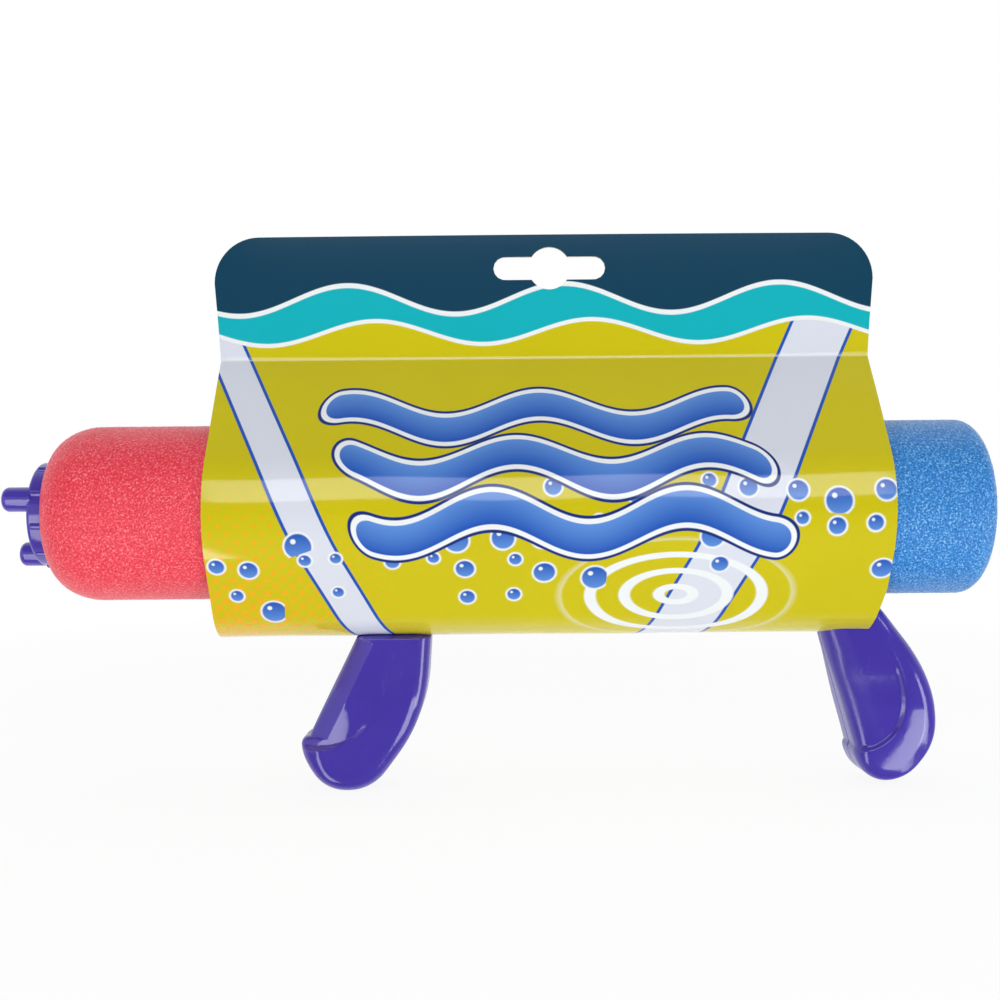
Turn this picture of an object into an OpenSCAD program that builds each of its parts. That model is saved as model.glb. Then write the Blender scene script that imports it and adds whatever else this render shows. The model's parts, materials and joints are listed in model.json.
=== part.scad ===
// Water squirter: a pull pump under two foam sleeves, with two splayed handles and a hang card.
// Millimetres. The origin is the mouth of the jet, on the pump's axis.
// +X runs back along the pump, +Z is up, and the handles point down.

/* [Foam sleeves] */
// Outside diameter of both sleeves
foam_d = 49; // [47:0.5:58]
// Length of the front sleeve
front_foam_l = 150; // [135:1:190]
// Length of the rear sleeve
rear_foam_l = 111; // [106:1:150]
// How far the nose of the front sleeve lies behind the jet
nose_back = 4.5; // [2.5:0.5:6]
// Rounding of the nose of the front sleeve
nose_r = 10; // [4:0.5:12]
// Rounding of the tail of the rear sleeve
tail_r = 5; // [2:0.5:8]
// Rounding of the two ends that meet in the middle
meet_r = 2; // [0.5:0.5:4]
// Gap between the two halves when the pump is pushed in
meet_gap = 0.5; // [0.3:0.1:2]
// Width of the slit that lets a sleeve pass over its handle
slit_w = 0.8; // [0.4:0.1:2]

/* [Tubes] */
// Outside diameter of the barrel and of the rear grip tube
tube_d = 28; // [26:0.5:31]
// Wall of both tubes
tube_wall = 2; // [1.6:0.1:3]

/* [Nozzle cap] */
// Diameter of the cap's ring
ring_d = 29.6; // [28:0.2:34]
// Length of the ring
ring_l = 6.5; // [5:0.5:9]
// Bevel on the ring's front edge
ring_bevel = 1.2; // [0.4:0.1:2]
// Thickness of the cap's front wall
face_t = 4; // [2:0.5:5]
// Diameter of the jet
jet_d = 3.5; // [2:0.25:5]
// Length of the spigot inside the barrel
spigot_l = 9; // [7:0.5:14]
// Wall of the spigot
spigot_wall = 4; // [3.6:0.1:6]
// Number of stand-off pegs on the front
peg_count = 3; // [2:1:6]
// Diameter of a peg
peg_d = 6.6; // [3:0.2:7]
// How far a peg stands out
peg_l = 7.3; // [3:0.1:12]
// Rounding of a peg's tip
peg_tip_r = 1.8; // [0.5:0.1:2.5]
// Angle of the first peg, from the near side upwards
peg_turn = 21; // [0:1:119]
// Number of grip ribs round the ring
rib_count = 10; // [6:1:24]
// Thickness of a grip rib
rib_d = 1.6; // [0.8:0.1:2.4]
// How far a grip rib stands out
rib_h = 0.5; // [0.2:0.1:0.8]

/* [Pump works] */
// Wall of the bushes that guide and centre the plunger rod
bush_wall = 3.9; // [3.4:0.1:5]
// Wall of the plunger rod
rod_wall = 2; // [1.5:0.1:3]
// Length of the solid end of the rod
rod_end_l = 18; // [16:1:30]
// Length of the piston head
piston_l = 14; // [10:0.5:20]
// Length of the piston's tail inside the rod
piston_tail_l = 12; // [8:0.5:20]
// Thickness of a seal ring
seal_d = 2.2; // [1.6:0.1:2.6]
// Length of the guide bush inside the barrel
guide_l = 10; // [8:0.5:20]
// Thickness of the guide bush's flange
guide_flange_t = 2; // [1.5:0.5:4]
// Length of the bush that centres the rod in the rear tube
centring_l = 10; // [5:0.5:20]
// Thickness of the end cap's flange
end_flange_t = 3; // [2:0.5:5]
// Length of the end cap's plug
end_plug_l = 12; // [11:0.5:20]
// How deep the rod sits in the end cap
rod_socket_l = 9; // [4:0.5:10]
// How far the end cap lies inside the rear sleeve's tail
tail_recess = 2; // [1:0.5:5]
// Diameter of the pins that lock the bush and the piston
pin_d = 2.5; // [1.5:0.1:3]
// How deep a bush pin goes into the bush
bush_pin_bite = 2.5; // [1.5:0.1:3]
// Room left in front of and behind the piston at the ends of its stroke
stroke_room = 1.5; // [0.5:0.1:3]

/* [Handles] */
// Thickness of a grip
grip_t = 20; // [16:0.5:26]
// Rounding of a grip's edges
grip_edge = 5; // [2:0.5:6]
// Wall of the hollow grip
grip_wall = 2.6; // [2.2:0.1:4]
// Thickness of the neck between the collar and the grip
neck_t = 9; // [7:0.5:12]
// Width of the neck where it leaves the foam
neck_w = 17.4; // [12:0.2:18]
// Length of the collar round the tube
collar_l = 18; // [16:0.5:26]
// Wall of the collar
collar_wall = 2.2; // [1.5:0.1:3]
// Gap between the card and the shoulder of a grip
shoulder_gap = 1.2; // [0.8:0.1:6]
// Thickness of a grip at its shoulder
shoulder_t = 15; // [12:0.5:20]
// Radius of a grip's belly
belly_r = 13; // [10:0.5:15]
// Depth of the sunk panel in each face of a grip
panel_depth = 1.2; // [0.4:0.1:1.4]
// Width of the joint between the two halves of a grip
seam = 0.1; // [0.05:0.01:0.3]

/* [Front handle] */
// Distance of the front neck from the jet
front_neck_x = 103.4; // [80:0.2:120]
// How far the front neck flares sideways
front_flare_dx = -3.4; // [-8:0.2:8]
// Width of the front neck at its shoulder
front_flare_w = 21.2; // [18:0.2:26]
// Place of the front belly along the pump, from its neck
front_belly_dx = -7.4; // [-14:0.1:14]
// Drop of the front belly below its shoulder
front_belly_drop = 16.5; // [13:0.1:22]
// Place of the front pommel along the pump, from its neck
front_pommel_dx = -14.6; // [-20:0.2:20]
// Drop of the front pommel below its shoulder
front_pommel_drop = 29.4; // [22:0.2:36]
// Radius of the front pommel
front_pommel_r = 12.5; // [9:0.1:15]
// How far the front pommel's lip stands out towards the jet
front_lip = 2; // [0.2:0.1:3]
// Level of the top of that lip above the middle of the pommel
front_lip_rise = 3.3; // [-6:0.1:6]
// Shift of the front panel from the grip's outline, along the pump
front_panel_dx = -5; // [-10:0.5:-2]
// Rise of the front panel from the grip's outline
front_panel_dz = 14; // [4:0.5:18]

/* [Rear handle] */
// Distance of the rear neck from the front end of the rear half
rear_neck_in = 72.4; // [50:0.2:85]
// How far the rear neck flares sideways
rear_flare_dx = 6.8; // [-8:0.2:8]
// Width of the rear neck at its shoulder
rear_flare_w = 23.2; // [18:0.2:26]
// Place of the rear belly along the pump, from its neck
rear_belly_dx = 12.8; // [-14:0.1:14]
// Drop of the rear belly below its shoulder
rear_belly_drop = 16.8; // [13:0.1:22]
// Place of the rear pommel along the pump, from its neck
rear_pommel_dx = 13.9; // [-20:0.1:20]
// Drop of the rear pommel below its shoulder
rear_pommel_drop = 28.1; // [22:0.1:36]
// Radius of the rear pommel
rear_pommel_r = 11.8; // [9:0.1:15]
// How far the rear pommel's lip stands out towards the jet
rear_lip = 0.6; // [0.2:0.1:3]
// Level of the top of that lip above the middle of the pommel
rear_lip_rise = -1.7; // [-6:0.1:6]
// Shift of the rear panel from the grip's outline, along the pump
rear_panel_dx = -8; // [-10:0.5:-2]
// Rise of the rear panel from the grip's outline
rear_panel_dz = 7; // [4:0.5:18]

/* [Screws] */
// Diameter of a screw's shank
screw_d = 2.6; // [2:0.1:3]
// Diameter of a screw's head
screw_head_d = 5.4; // [4:0.1:6]
// Height of a screw's head
screw_head_h = 2; // [1.4:0.1:3]
// Length of a screw's shank
screw_l = 10; // [8:0.5:12]
// Wall of a screw boss
boss_wall = 1.4; // [1:0.1:2.5]
// Material under a screw's head
screw_seat_t = 4; // [3:0.5:5]

/* [Hang card] */
// Length of the card along the pump
card_l = 186; // [150:1:220]
// Distance of the card's front edge from the jet
card_x = 51.3; // [30:0.1:60]
// Thickness of the card
card_t = 0.5; // [0.3:0.1:0.8]
// Gap between the card and the foam
card_gap = 0.8; // [0.4:0.1:0.9]
// Height of the fold above the foam
fold_rise = 19; // [8:0.5:30]
// Radius of the rounded bottom of the card's loop
keel_r = 15; // [8:0.5:20]
// Depth of the loop's bottom below the foam
keel_drop = 10.7; // [8:0.1:16]
// Height of the header above the fold
header_h = 35.3; // [28:0.1:50]
// Rounding of the header's top corners
header_r = 13; // [3:0.5:16]
// How far the header widens towards its top, at each side
header_flare = 1.6; // [0:0.1:4]
// Width of the hang slot
slot_w = 32; // [26:0.5:34]
// Height of the hang slot's bar
slot_h = 6.5; // [5:0.1:8]
// Diameter of the round middle of the hang slot
slot_d = 12; // [9:0.1:14]
// Distance of the hang slot from the header's top
slot_drop = 9.6; // [8:0.1:14]
// Place of the hang slot along the header, from its middle
slot_dx = 1.6; // [-20:0.1:20]
// Room between the ends of the card's cut-outs and the handles
cut_end_room = 0.8; // [0.5:0.1:3]
// Room between the sides of the front cut-out and its handle
front_cut_room = 0.6; // [0.5:0.1:3]
// Room between the sides of the rear cut-out and its handle
rear_cut_room = 2.2; // [0.5:0.1:4]
// How far the rear corners of the card's bottom are trimmed back
corner_trim = 2.6; // [0.5:0.1:4]
// Height of that trim
corner_rise = 13; // [4:0.5:20]

/* [Clearances] */
// Clearance of pieces that are fixed to each other
fit = 0.1; // [0.05:0.01:0.2]
// Running clearance of the rod and of the piston's seal
run = 0.08; // [0.03:0.01:0.1]
// Clearance of the piston head in the barrel
piston_room = 0.35; // [0.2:0.05:0.8]
// Clearance of the foam round the hard pieces
foam_room = 0.3; // [0.2:0.05:0.6]

/* [Hidden] */

violet = [0.29, 0.23, 0.66];
red_foam = [0.90, 0.27, 0.33];
blue_foam = [0.17, 0.49, 0.78];
clear_plastic = [0.86, 0.90, 0.94];
white_plastic = [0.93, 0.93, 0.91];
black_rubber = [0.10, 0.10, 0.11];
steel = [0.72, 0.73, 0.75];
card_yellow = [0.82, 0.78, 0.12];

// Facets of exact round shapes, of the shapes inside a hull, and of a rounded edge
$fn = 96;
hull_fn = 32;
arc_steps = 8;
// A cut runs this far past the face it opens
past = 1;
// Thickness of the slabs that a hull runs between
slab = 0.4;

foam_r = foam_d / 2;
tube_r = tube_d / 2;
bore_r = tube_r - tube_wall;
ring_r = ring_d / 2;
jet_r = jet_d / 2;
foam_in_r = tube_r + fit;
spigot_r = bore_r - fit;
rod_r = spigot_r - bush_wall;
rod_bore_r = rod_r - rod_wall;

// Places along the pump
front_end_x = nose_back + front_foam_l;
rear_start_x = front_end_x + meet_gap;
rear_end_x = rear_start_x + rear_foam_l;
spigot_end_x = ring_l + spigot_l;
guide_end_x = front_end_x - guide_flange_t;
guide_start_x = guide_end_x - guide_l;
piston_x = spigot_end_x + stroke_room;
piston_end_x = piston_x + piston_l;
end_face_x = rear_end_x - tail_recess;
end_seat_x = end_face_x - end_flange_t;
rod_end_x = end_seat_x - end_plug_l + rod_socket_l;
rear_neck_x = rear_start_x + rear_neck_in;

// Travel of the plunger: the piston's back stops short of the guide bush
stroke = guide_start_x - piston_end_x - stroke_room;
echo(stroke = stroke);

// Levels below and above the axis
loop_r = foam_r + card_gap;
keel_z = foam_r + keel_drop;
shoulder_z = keel_z + card_t + shoulder_gap;
fold_z = foam_r + fold_rise;
header_top_z = fold_z + header_h;
slot_z = header_top_z - slot_drop;
card_mid_x = card_x + card_l / 2;

peg_circle_r = ring_r - peg_d / 2;
collar_r = tube_r + collar_wall;
seal_groove_l = seal_d + 2 * fit;
seal_mid_r = bore_r - run - seal_d / 2;
seal_groove_r = seal_mid_r - seal_d / 2 - fit;
boss_r = screw_head_d / 2 + fit + boss_wall;

// Points of an arc about [cx, cy], from angle a0 to a1
function arc(cx, cy, r, a0, a1) =
    [for (i = [0 : arc_steps]) let (a = a0 + (a1 - a0) * i / arc_steps) [cx + r * cos(a), cy + r * sin(a)]];

// Turns a shape drawn along Z so that it lies along X
module along_x(x = 0) {
    translate([x, 0, 0]) rotate([0, 90, 0]) children();
}

// A plain round bar from x0 to x1
module bar(r, x0, x1) {
    along_x(x0) cylinder(r = r, h = x1 - x0);
}

// A tube from x0 to x1
module pipe(r_out, r_in, x0, x1) {
    difference() {
        bar(r_out, x0, x1);
        bar(r_in, x0 - past, x1 + past);
    }
}

// A seal ring about the axis, at x
module seal_ring(x) {
    along_x(x) rotate_extrude() translate([seal_mid_r, 0]) circle(d = seal_d, $fn = hull_fn);
}

// The groove that a seal ring lies in, reaching out past r_out
module seal_groove(x, r_out) {
    pipe(r_out + past, seal_groove_r, x - seal_groove_l / 2, x + seal_groove_l / 2);
}

// A pan-head screw along Z: the shank points down and the head sits on the origin
module screw(length) {
    cylinder(d = screw_head_d, h = screw_head_h);
    translate([0, 0, -length]) cylinder(d = screw_d, h = length);
}

// A straight slot outline with round ends, w long and t wide
module stadium(w, t) {
    square([w - t, t], center = true);
    for (side = [-1, 1]) translate([side * (w - t) / 2, 0]) circle(d = t, $fn = hull_fn);
}

// Nozzle cap

module peg() {
    profile = concat(
        [[0, -ring_bevel], [peg_d / 2, -ring_bevel]],
        arc(peg_d / 2 - peg_tip_r, peg_l - peg_tip_r, peg_tip_r, 0, 90),
        [[0, peg_l]]
    );
    rotate([0, -90, 0]) rotate_extrude($fn = 48) polygon(profile);
}

module nozzle_cap() {
    seat = [[jet_r, 0], [ring_r - ring_bevel, 0], [ring_r, ring_bevel], [ring_r, ring_l]];
    spigot = [[spigot_r, ring_l], [spigot_r, spigot_end_x], [bore_r - spigot_wall, spigot_end_x]];
    inside = [[bore_r - spigot_wall, face_t], [jet_r, face_t]];
    color(violet) {
        difference() {
            along_x() rotate_extrude() polygon(concat(seat, spigot, inside));
            seal_groove(ring_l + spigot_l / 2, spigot_r);
        }
        for (i = [0 : peg_count - 1]) {
            turn = peg_turn + 360 * i / peg_count;
            translate([0, -peg_circle_r * cos(turn), peg_circle_r * sin(turn)]) peg();
        }
        for (i = [0 : rib_count - 1]) {
            turn = peg_turn + 360 * i / rib_count;
            out_r = ring_r + rib_h - rib_d / 2;
            translate([0, -out_r * cos(turn), out_r * sin(turn)])
                bar(rib_d / 2, ring_bevel, ring_l);
        }
    }
}

module nozzle_seal() {
    color(black_rubber) seal_ring(ring_l + spigot_l / 2);
}

// Barrel and its guide

// Pins across the barrel's rear end, one on each side, made larger by room
module bush_pin_shape(room) {
    x = guide_end_x - guide_l / 2;
    tip = bore_r - bush_pin_bite - room;
    for (side = [-1, 1])
        translate([x, side * tip, 0]) rotate([-side * 90, 0, 0])
            cylinder(d = pin_d + 2 * room, h = tube_r - tip + (room > 0 ? past : -fit), $fn = 48);
}

module pump_barrel() {
    color(clear_plastic) difference() {
        pipe(tube_r, bore_r, ring_l + fit, guide_end_x - fit);
        bush_pin_shape(fit);
    }
}

module barrel_guide_bush() {
    color(white_plastic) difference() {
        union() {
            bar(tube_r, guide_end_x, front_end_x);
            bar(spigot_r, guide_start_x, guide_end_x);
        }
        bar(rod_r + run, guide_start_x - past, front_end_x + past);
        bush_pin_shape(fit);
    }
}

module guide_bush_pins() {
    color(steel) bush_pin_shape(0);
}

// Foam sleeves

// A sleeve from x0 to x1 with rounded ends, drawn as a ring section
module sleeve(x0, x1, r0, r1) {
    wall = foam_r - foam_in_r - fit;
    e0 = min(r0, wall);
    e1 = min(r1, wall);
    front = arc(foam_r - e0, x0 + e0, e0, -90, 0);
    back = arc(foam_r - e1, x1 - e1, e1, 0, 90);
    along_x() rotate_extrude() polygon(concat([[foam_in_r, x0]], front, back, [[foam_in_r, x1]]));
}

// Room for a handle's collar and neck, and the slit from the neck to the sleeve's end
module handle_room(neck_x, slit_end_x) {
    half = collar_l / 2 + foam_room;
    bar(collar_r + foam_room, neck_x - half, neck_x + half);
    translate([neck_x, 0, -foam_r - past]) linear_extrude(foam_r)
        stadium(neck_w + 2 * foam_room, neck_t + 2 * foam_room);
    slit_x = min(neck_x, slit_end_x);
    translate([slit_x, -slit_w / 2, -foam_r - past])
        cube([abs(slit_end_x - neck_x), slit_w, foam_r]);
}

module front_foam_sleeve() {
    color(red_foam) difference() {
        sleeve(nose_back, front_end_x, nose_r, meet_r);
        bar(ring_r + rib_h + foam_room, nose_back - past, ring_l + foam_room);
        handle_room(front_neck_x, front_end_x + past);
    }
}

module rear_foam_sleeve() {
    color(blue_foam) difference() {
        sleeve(rear_start_x, rear_end_x, meet_r, tail_r);
        handle_room(rear_neck_x, rear_start_x - past);
    }
}

// Handles. A handle's own sizes come down in the variables that start with $

// Hands the front handle's sizes and place to its children
module front_handle() {
    translate([front_neck_x, 0, 0])
        let ($flare_dx = front_flare_dx, $flare_w = front_flare_w,
             $belly_dx = front_belly_dx, $belly_z = shoulder_z + front_belly_drop,
             $pommel_dx = front_pommel_dx, $pommel_z = shoulder_z + front_pommel_drop,
             $pommel_r = front_pommel_r, $lip = front_lip, $lip_rise = front_lip_rise,
             $panel_dx = front_panel_dx, $panel_dz = front_panel_dz) children();
}

// Hands the rear handle's sizes and place to its children
module rear_handle() {
    translate([rear_neck_x, 0, 0])
        let ($flare_dx = rear_flare_dx, $flare_w = rear_flare_w,
             $belly_dx = rear_belly_dx, $belly_z = shoulder_z + rear_belly_drop,
             $pommel_dx = rear_pommel_dx, $pommel_z = shoulder_z + rear_pommel_drop,
             $pommel_r = rear_pommel_r, $lip = rear_lip, $lip_rise = rear_lip_rise,
             $panel_dx = rear_panel_dx, $panel_dz = rear_panel_dz) children();
}

// A thick disc across Y with rounded edges
module pill(r, t) {
    edge = min(grip_edge, t / 2 - slab, r - slab);
    profile = concat(
        [[0, -t / 2]],
        arc(r - edge, edge - t / 2, edge, -90, 0),
        arc(r - edge, t / 2 - edge, edge, 0, 90),
        [[0, t / 2]]
    );
    rotate([90, 0, 0]) rotate_extrude($fn = hull_fn) polygon(profile);
}

// A slab of thickness t as wide as the shoulder, that starts at level z
module shoulder_slab(t, z) {
    translate([$flare_dx, 0, z]) linear_extrude(slab) stadium($flare_w, t);
}

// The neck: straight through the foam, then flaring to the shoulder
module neck() {
    translate([0, 0, -foam_r]) linear_extrude(foam_r - tube_r / 2) stadium(neck_w, neck_t);
    hull() {
        translate([0, 0, -foam_r]) linear_extrude(slab) stadium(neck_w, neck_t);
        shoulder_slab(neck_t, -shoulder_z);
    }
}

// The belly and the pommel, drawn in by inset
module grip_lobes(inset) {
    translate([$belly_dx, 0, -$belly_z]) pill(belly_r - inset, grip_t - 2 * inset);
    translate([$pommel_dx, 0, -$pommel_z]) pill($pommel_r - inset, grip_t - 2 * inset);
}

// The lip: the lower part of the pommel, moved out towards the jet
module lip() {
    width = 2 * $pommel_r + 2 * past;
    translate([$pommel_dx - $lip, 0, -$pommel_z]) intersection() {
        pill($pommel_r, grip_t);
        translate([-width / 2, -grip_t, $lip_rise - width]) cube([width, 2 * grip_t, width]);
    }
}

module grip() {
    hull() {
        shoulder_slab(shoulder_t, -shoulder_z - slab);
        grip_lobes(0);
    }
    lip();
}

// The grip's outline seen from the side, in X and Z
module grip_outline() {
    hull() {
        translate([$flare_dx, -shoulder_z]) square([$flare_w, slab], center = true);
        translate([$belly_dx, -$belly_z]) circle(r = belly_r, $fn = hull_fn);
        translate([$pommel_dx, -$pommel_z]) circle(r = $pommel_r, $fn = hull_fn);
    }
}

// The sunk panel: the outline, shifted so that a rim is left at the back and at the bottom
module panel(side) {
    floor_y = grip_t / 2 - panel_depth;
    translate([$panel_dx, side > 0 ? floor_y + grip_t : -floor_y, $panel_dz])
        rotate([90, 0, 0]) linear_extrude(grip_t) grip_outline();
}

// One half of the space round a grip: side -1 is the near half, +1 the far half
module half_space(side) {
    reach = shoulder_z + 2 * grip_t + belly_r;
    translate([-reach, side > 0 ? seam / 2 : -grip_t - seam / 2, -2 * reach - shoulder_z])
        cube([2 * reach, grip_t, 2 * reach - (side > 0 ? seam : 0)]);
}

// Runs its children at each of the two screws of a grip, with +Z pointing to the far side
module at_screws() {
    for (place = [[$belly_dx, $belly_z], [$pommel_dx, $pommel_z]])
        translate([place[0], 0, -place[1]]) rotate([-90, 0, 0]) children();
}

// The hollow of a grip, with the screw bosses left standing
module grip_hollow() {
    difference() {
        hull() grip_lobes(grip_wall);
        at_screws() cylinder(r = boss_r, h = 2 * grip_t, center = true);
    }
}

// The half with the collar and the neck, on the near side
module handle_body() {
    difference() {
        union() {
            bar(collar_r, -collar_l / 2, collar_l / 2);
            neck();
            intersection() {
                grip();
                half_space(-1);
            }
        }
        bar(tube_r + fit, -collar_l, collar_l);
        grip_hollow();
        panel(-1);
        at_screws() translate([0, 0, screw_seat_t - screw_l - past])
            cylinder(d = screw_d + 2 * fit, h = screw_l + past, $fn = 48);
    }
}

// The half that closes the grip on the far side, with the screw holes
module handle_cover() {
    difference() {
        intersection() {
            grip();
            half_space(1);
        }
        grip_hollow();
        panel(1);
        at_screws() {
            translate([0, 0, -past]) cylinder(d = screw_d + 2 * fit, h = grip_t, $fn = 48);
            translate([0, 0, screw_seat_t]) cylinder(d = screw_head_d + 2 * fit, h = grip_t, $fn = 48);
        }
    }
}

module handle_screws() {
    at_screws() translate([0, 0, screw_seat_t]) screw(screw_l, $fn = 48);
}

module front_handle_body() {
    color(violet) front_handle() handle_body();
}

module front_handle_cover() {
    color(violet) front_handle() handle_cover();
}

module front_handle_screws() {
    color(steel) front_handle() handle_screws();
}

module rear_handle_body() {
    color(violet) rear_handle() handle_body();
}

module rear_handle_cover() {
    color(violet) rear_handle() handle_cover();
}

module rear_handle_screws() {
    color(steel) rear_handle() handle_screws();
}

// Plunger

module plunger_rod() {
    color(white_plastic) difference() {
        bar(rod_r, piston_end_x + fit, rod_end_x - fit);
        bar(rod_bore_r, piston_end_x - past, rod_end_x - rod_end_l);
        piston_pin_shape(fit);
        bar(screw_d / 2 + fit, rod_end_x - rod_end_l - past, rod_end_x + past);
    }
}

// The pin across the rod that holds the piston's tail, made larger by room
module piston_pin_shape(room) {
    length = 2 * (room > 0 ? rod_r + past : rod_r - piston_room);
    translate([piston_end_x + piston_tail_l / 2, 0, 0]) rotate([90, 0, 0])
        cylinder(d = pin_d + 2 * room, h = length, center = true, $fn = 48);
}

module piston_head() {
    color(white_plastic) difference() {
        union() {
            bar(bore_r - piston_room, piston_x, piston_end_x);
            bar(rod_bore_r - fit, piston_end_x, piston_end_x + piston_tail_l);
        }
        seal_groove(piston_x + piston_l / 2, bore_r);
        piston_pin_shape(fit);
    }
}

module piston_seal() {
    color(black_rubber) seal_ring(piston_x + piston_l / 2);
}

module piston_pin() {
    color(steel) piston_pin_shape(0);
}

module rear_grip_tube() {
    color(clear_plastic) pipe(tube_r, bore_r, rear_start_x, end_seat_x - fit);
}

module rod_centring_bush() {
    color(white_plastic) pipe(spigot_r, rod_r + fit, rear_start_x, rear_start_x + centring_l);
}

module end_cap() {
    color(violet) difference() {
        union() {
            bar(tube_r, end_seat_x, end_face_x);
            bar(spigot_r, end_seat_x - end_plug_l, end_seat_x);
        }
        bar(rod_r + fit, end_seat_x - end_plug_l - past, rod_end_x);
        bar(screw_d / 2 + fit, rod_end_x - past, end_face_x + past);
        bar(screw_head_d / 2 + fit, end_face_x - screw_head_h, end_face_x + past);
    }
}

module end_cap_screw() {
    length = end_face_x - screw_head_h - rod_end_x + screw_l;
    color(steel) along_x(end_face_x - screw_head_h) screw(length, $fn = 48);
}

// Hang card

// The inside of the card's loop round the foam, seen along the pump, in Y and Z
module card_loop() {
    hull() {
        circle(r = loop_r);
        translate([0, keel_r - keel_z]) circle(r = keel_r);
        translate([0, fold_z]) circle(r = card_t / 2, $fn = hull_fn);
    }
}

// The header's outline, in X and Z
module header_outline() {
    hull() {
        translate([card_x, fold_z]) square([card_l, slab]);
        for (side = [-1, 1])
            translate([card_mid_x + side * (card_l / 2 + header_flare - header_r), header_top_z - header_r])
                circle(r = header_r);
    }
}

// The hang slot, cut right through the header
module hang_slot() {
    depth = 2 * card_t + 2 * past;
    translate([card_mid_x + slot_dx, 0, slot_z]) rotate([90, 0, 0]) {
        cylinder(d = slot_d, h = depth, center = true);
        cube([slot_w - slot_h, slot_h, depth], center = true);
        for (side = [-1, 1]) translate([side * (slot_w - slot_h) / 2, 0, 0])
            cylinder(d = slot_h, h = depth, center = true);
    }
}

// A cut-out in the loop's bottom from x0 to x1, with round ends and room beside the neck
module keel_cut(x0, x1, room) {
    translate([(x0 + x1) / 2, 0, -keel_z - card_t - past]) linear_extrude(keel_z - foam_r + past)
        stadium(x1 - x0, neck_t + 2 * room);
}

// The wedge that trims the rear corners of the loop's bottom
module corner_cut() {
    low = -keel_z - card_t - past;
    wedge = [[-corner_trim, low], [past, low], [past, corner_rise - keel_z], [0, corner_rise - keel_z]];
    translate([card_x + card_l, 0, 0]) rotate([90, 0, 0]) linear_extrude(2 * loop_r + 2 * past, center = true)
        polygon(wedge);
}

module display_card() {
    front_mid_x = front_neck_x + front_flare_dx;
    rear_mid_x = rear_neck_x + rear_flare_dx;
    front_half = front_flare_w / 2 + cut_end_room;
    rear_half = rear_flare_w / 2 + cut_end_room;
    open_end_x = card_x + card_l + neck_t + 2 * rear_cut_room;
    color(card_yellow) difference() {
        union() {
            translate([card_x, 0, 0]) rotate([90, 0, 90]) linear_extrude(card_l) difference() {
                offset(r = card_t, $fn = hull_fn) card_loop();
                card_loop();
            }
            translate([0, card_t, 0]) rotate([90, 0, 0]) linear_extrude(2 * card_t) header_outline();
        }
        hang_slot();
        keel_cut(front_mid_x - front_half, front_mid_x + front_half, front_cut_room);
        keel_cut(rear_mid_x - rear_half, open_end_x, rear_cut_room);
        corner_cut();
    }
}

nozzle_cap();
nozzle_seal();
pump_barrel();
barrel_guide_bush();
guide_bush_pins();
front_foam_sleeve();
front_handle_body();
front_handle_cover();
front_handle_screws();
display_card();
plunger_rod();
piston_head();
piston_seal();
piston_pin();
rear_grip_tube();
rod_centring_bush();
end_cap();
end_cap_screw();
rear_foam_sleeve();
rear_handle_body();
rear_handle_cover();
rear_handle_screws();
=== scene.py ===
# %% [markdown]
# # A foam-covered water squirter in its hang card
#
# The packed CAD model is the fixed frame: it says where every piece lies, in metres, with the
# jet's mouth at the origin, +X towards the tail and +Z up. This lesson dresses that frame. Rigid
# pieces that are already right keep their CAD meshes and only get a finish. Everything that shows
# up close (foam, handles, nozzle, card) is worked out again as a smooth numpy surface.

# %% Load the frame
import json
import math

import bmesh
import bpy
import numpy as np
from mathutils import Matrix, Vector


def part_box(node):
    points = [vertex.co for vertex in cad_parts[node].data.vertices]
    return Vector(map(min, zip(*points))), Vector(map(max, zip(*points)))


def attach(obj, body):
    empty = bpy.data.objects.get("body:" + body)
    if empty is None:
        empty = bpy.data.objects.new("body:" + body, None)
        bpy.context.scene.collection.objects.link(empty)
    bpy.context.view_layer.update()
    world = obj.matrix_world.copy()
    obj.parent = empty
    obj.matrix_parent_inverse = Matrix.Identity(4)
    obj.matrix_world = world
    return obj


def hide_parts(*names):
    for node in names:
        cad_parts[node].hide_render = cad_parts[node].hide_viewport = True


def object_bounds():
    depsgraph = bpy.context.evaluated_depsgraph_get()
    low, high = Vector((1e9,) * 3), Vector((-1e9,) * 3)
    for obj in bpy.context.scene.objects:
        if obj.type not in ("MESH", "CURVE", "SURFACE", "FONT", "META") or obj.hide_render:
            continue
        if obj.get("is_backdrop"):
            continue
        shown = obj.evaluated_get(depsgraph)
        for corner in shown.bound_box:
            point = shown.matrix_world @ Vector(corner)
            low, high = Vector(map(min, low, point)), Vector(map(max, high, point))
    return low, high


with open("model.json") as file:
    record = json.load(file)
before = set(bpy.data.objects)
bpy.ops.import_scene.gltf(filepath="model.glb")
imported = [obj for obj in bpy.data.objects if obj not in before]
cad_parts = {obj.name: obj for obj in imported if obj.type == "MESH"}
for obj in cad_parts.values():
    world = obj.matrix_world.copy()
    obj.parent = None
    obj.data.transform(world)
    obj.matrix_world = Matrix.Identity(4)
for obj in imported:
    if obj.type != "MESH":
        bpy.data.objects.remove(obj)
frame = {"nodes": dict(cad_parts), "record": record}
cad_low, cad_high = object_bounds()
nodes = frame["nodes"]
MM = 0.001
print("nodes", len(nodes), "box in mm", [round((b - a) / MM, 1) for a, b in zip(cad_low, cad_high)])

# %% [markdown]
# ## The camera
#
# The photograph looks level along +Y at the middle of the card. Its perspective can be read from
# the card, which is 186 mm long both at the fold, in the axis' plane, and at its nearest line,
# 26 mm closer: the two widths give the distance, 350 mm. The lens' length, as a share of the
# sensor's width, then follows from the card's width. The picture is tipped by half a degree.

# %% Camera
VIEW_POINT = (131.2 * MM, -350 * MM, 2.9 * MM)
VIEW_TIP = math.radians(0.5)
SENSOR, FOCAL_SHARE = 36.0, 1.2145
LENS = SENSOR * FOCAL_SHARE
NEAR_CLIP = 0.01

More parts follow.
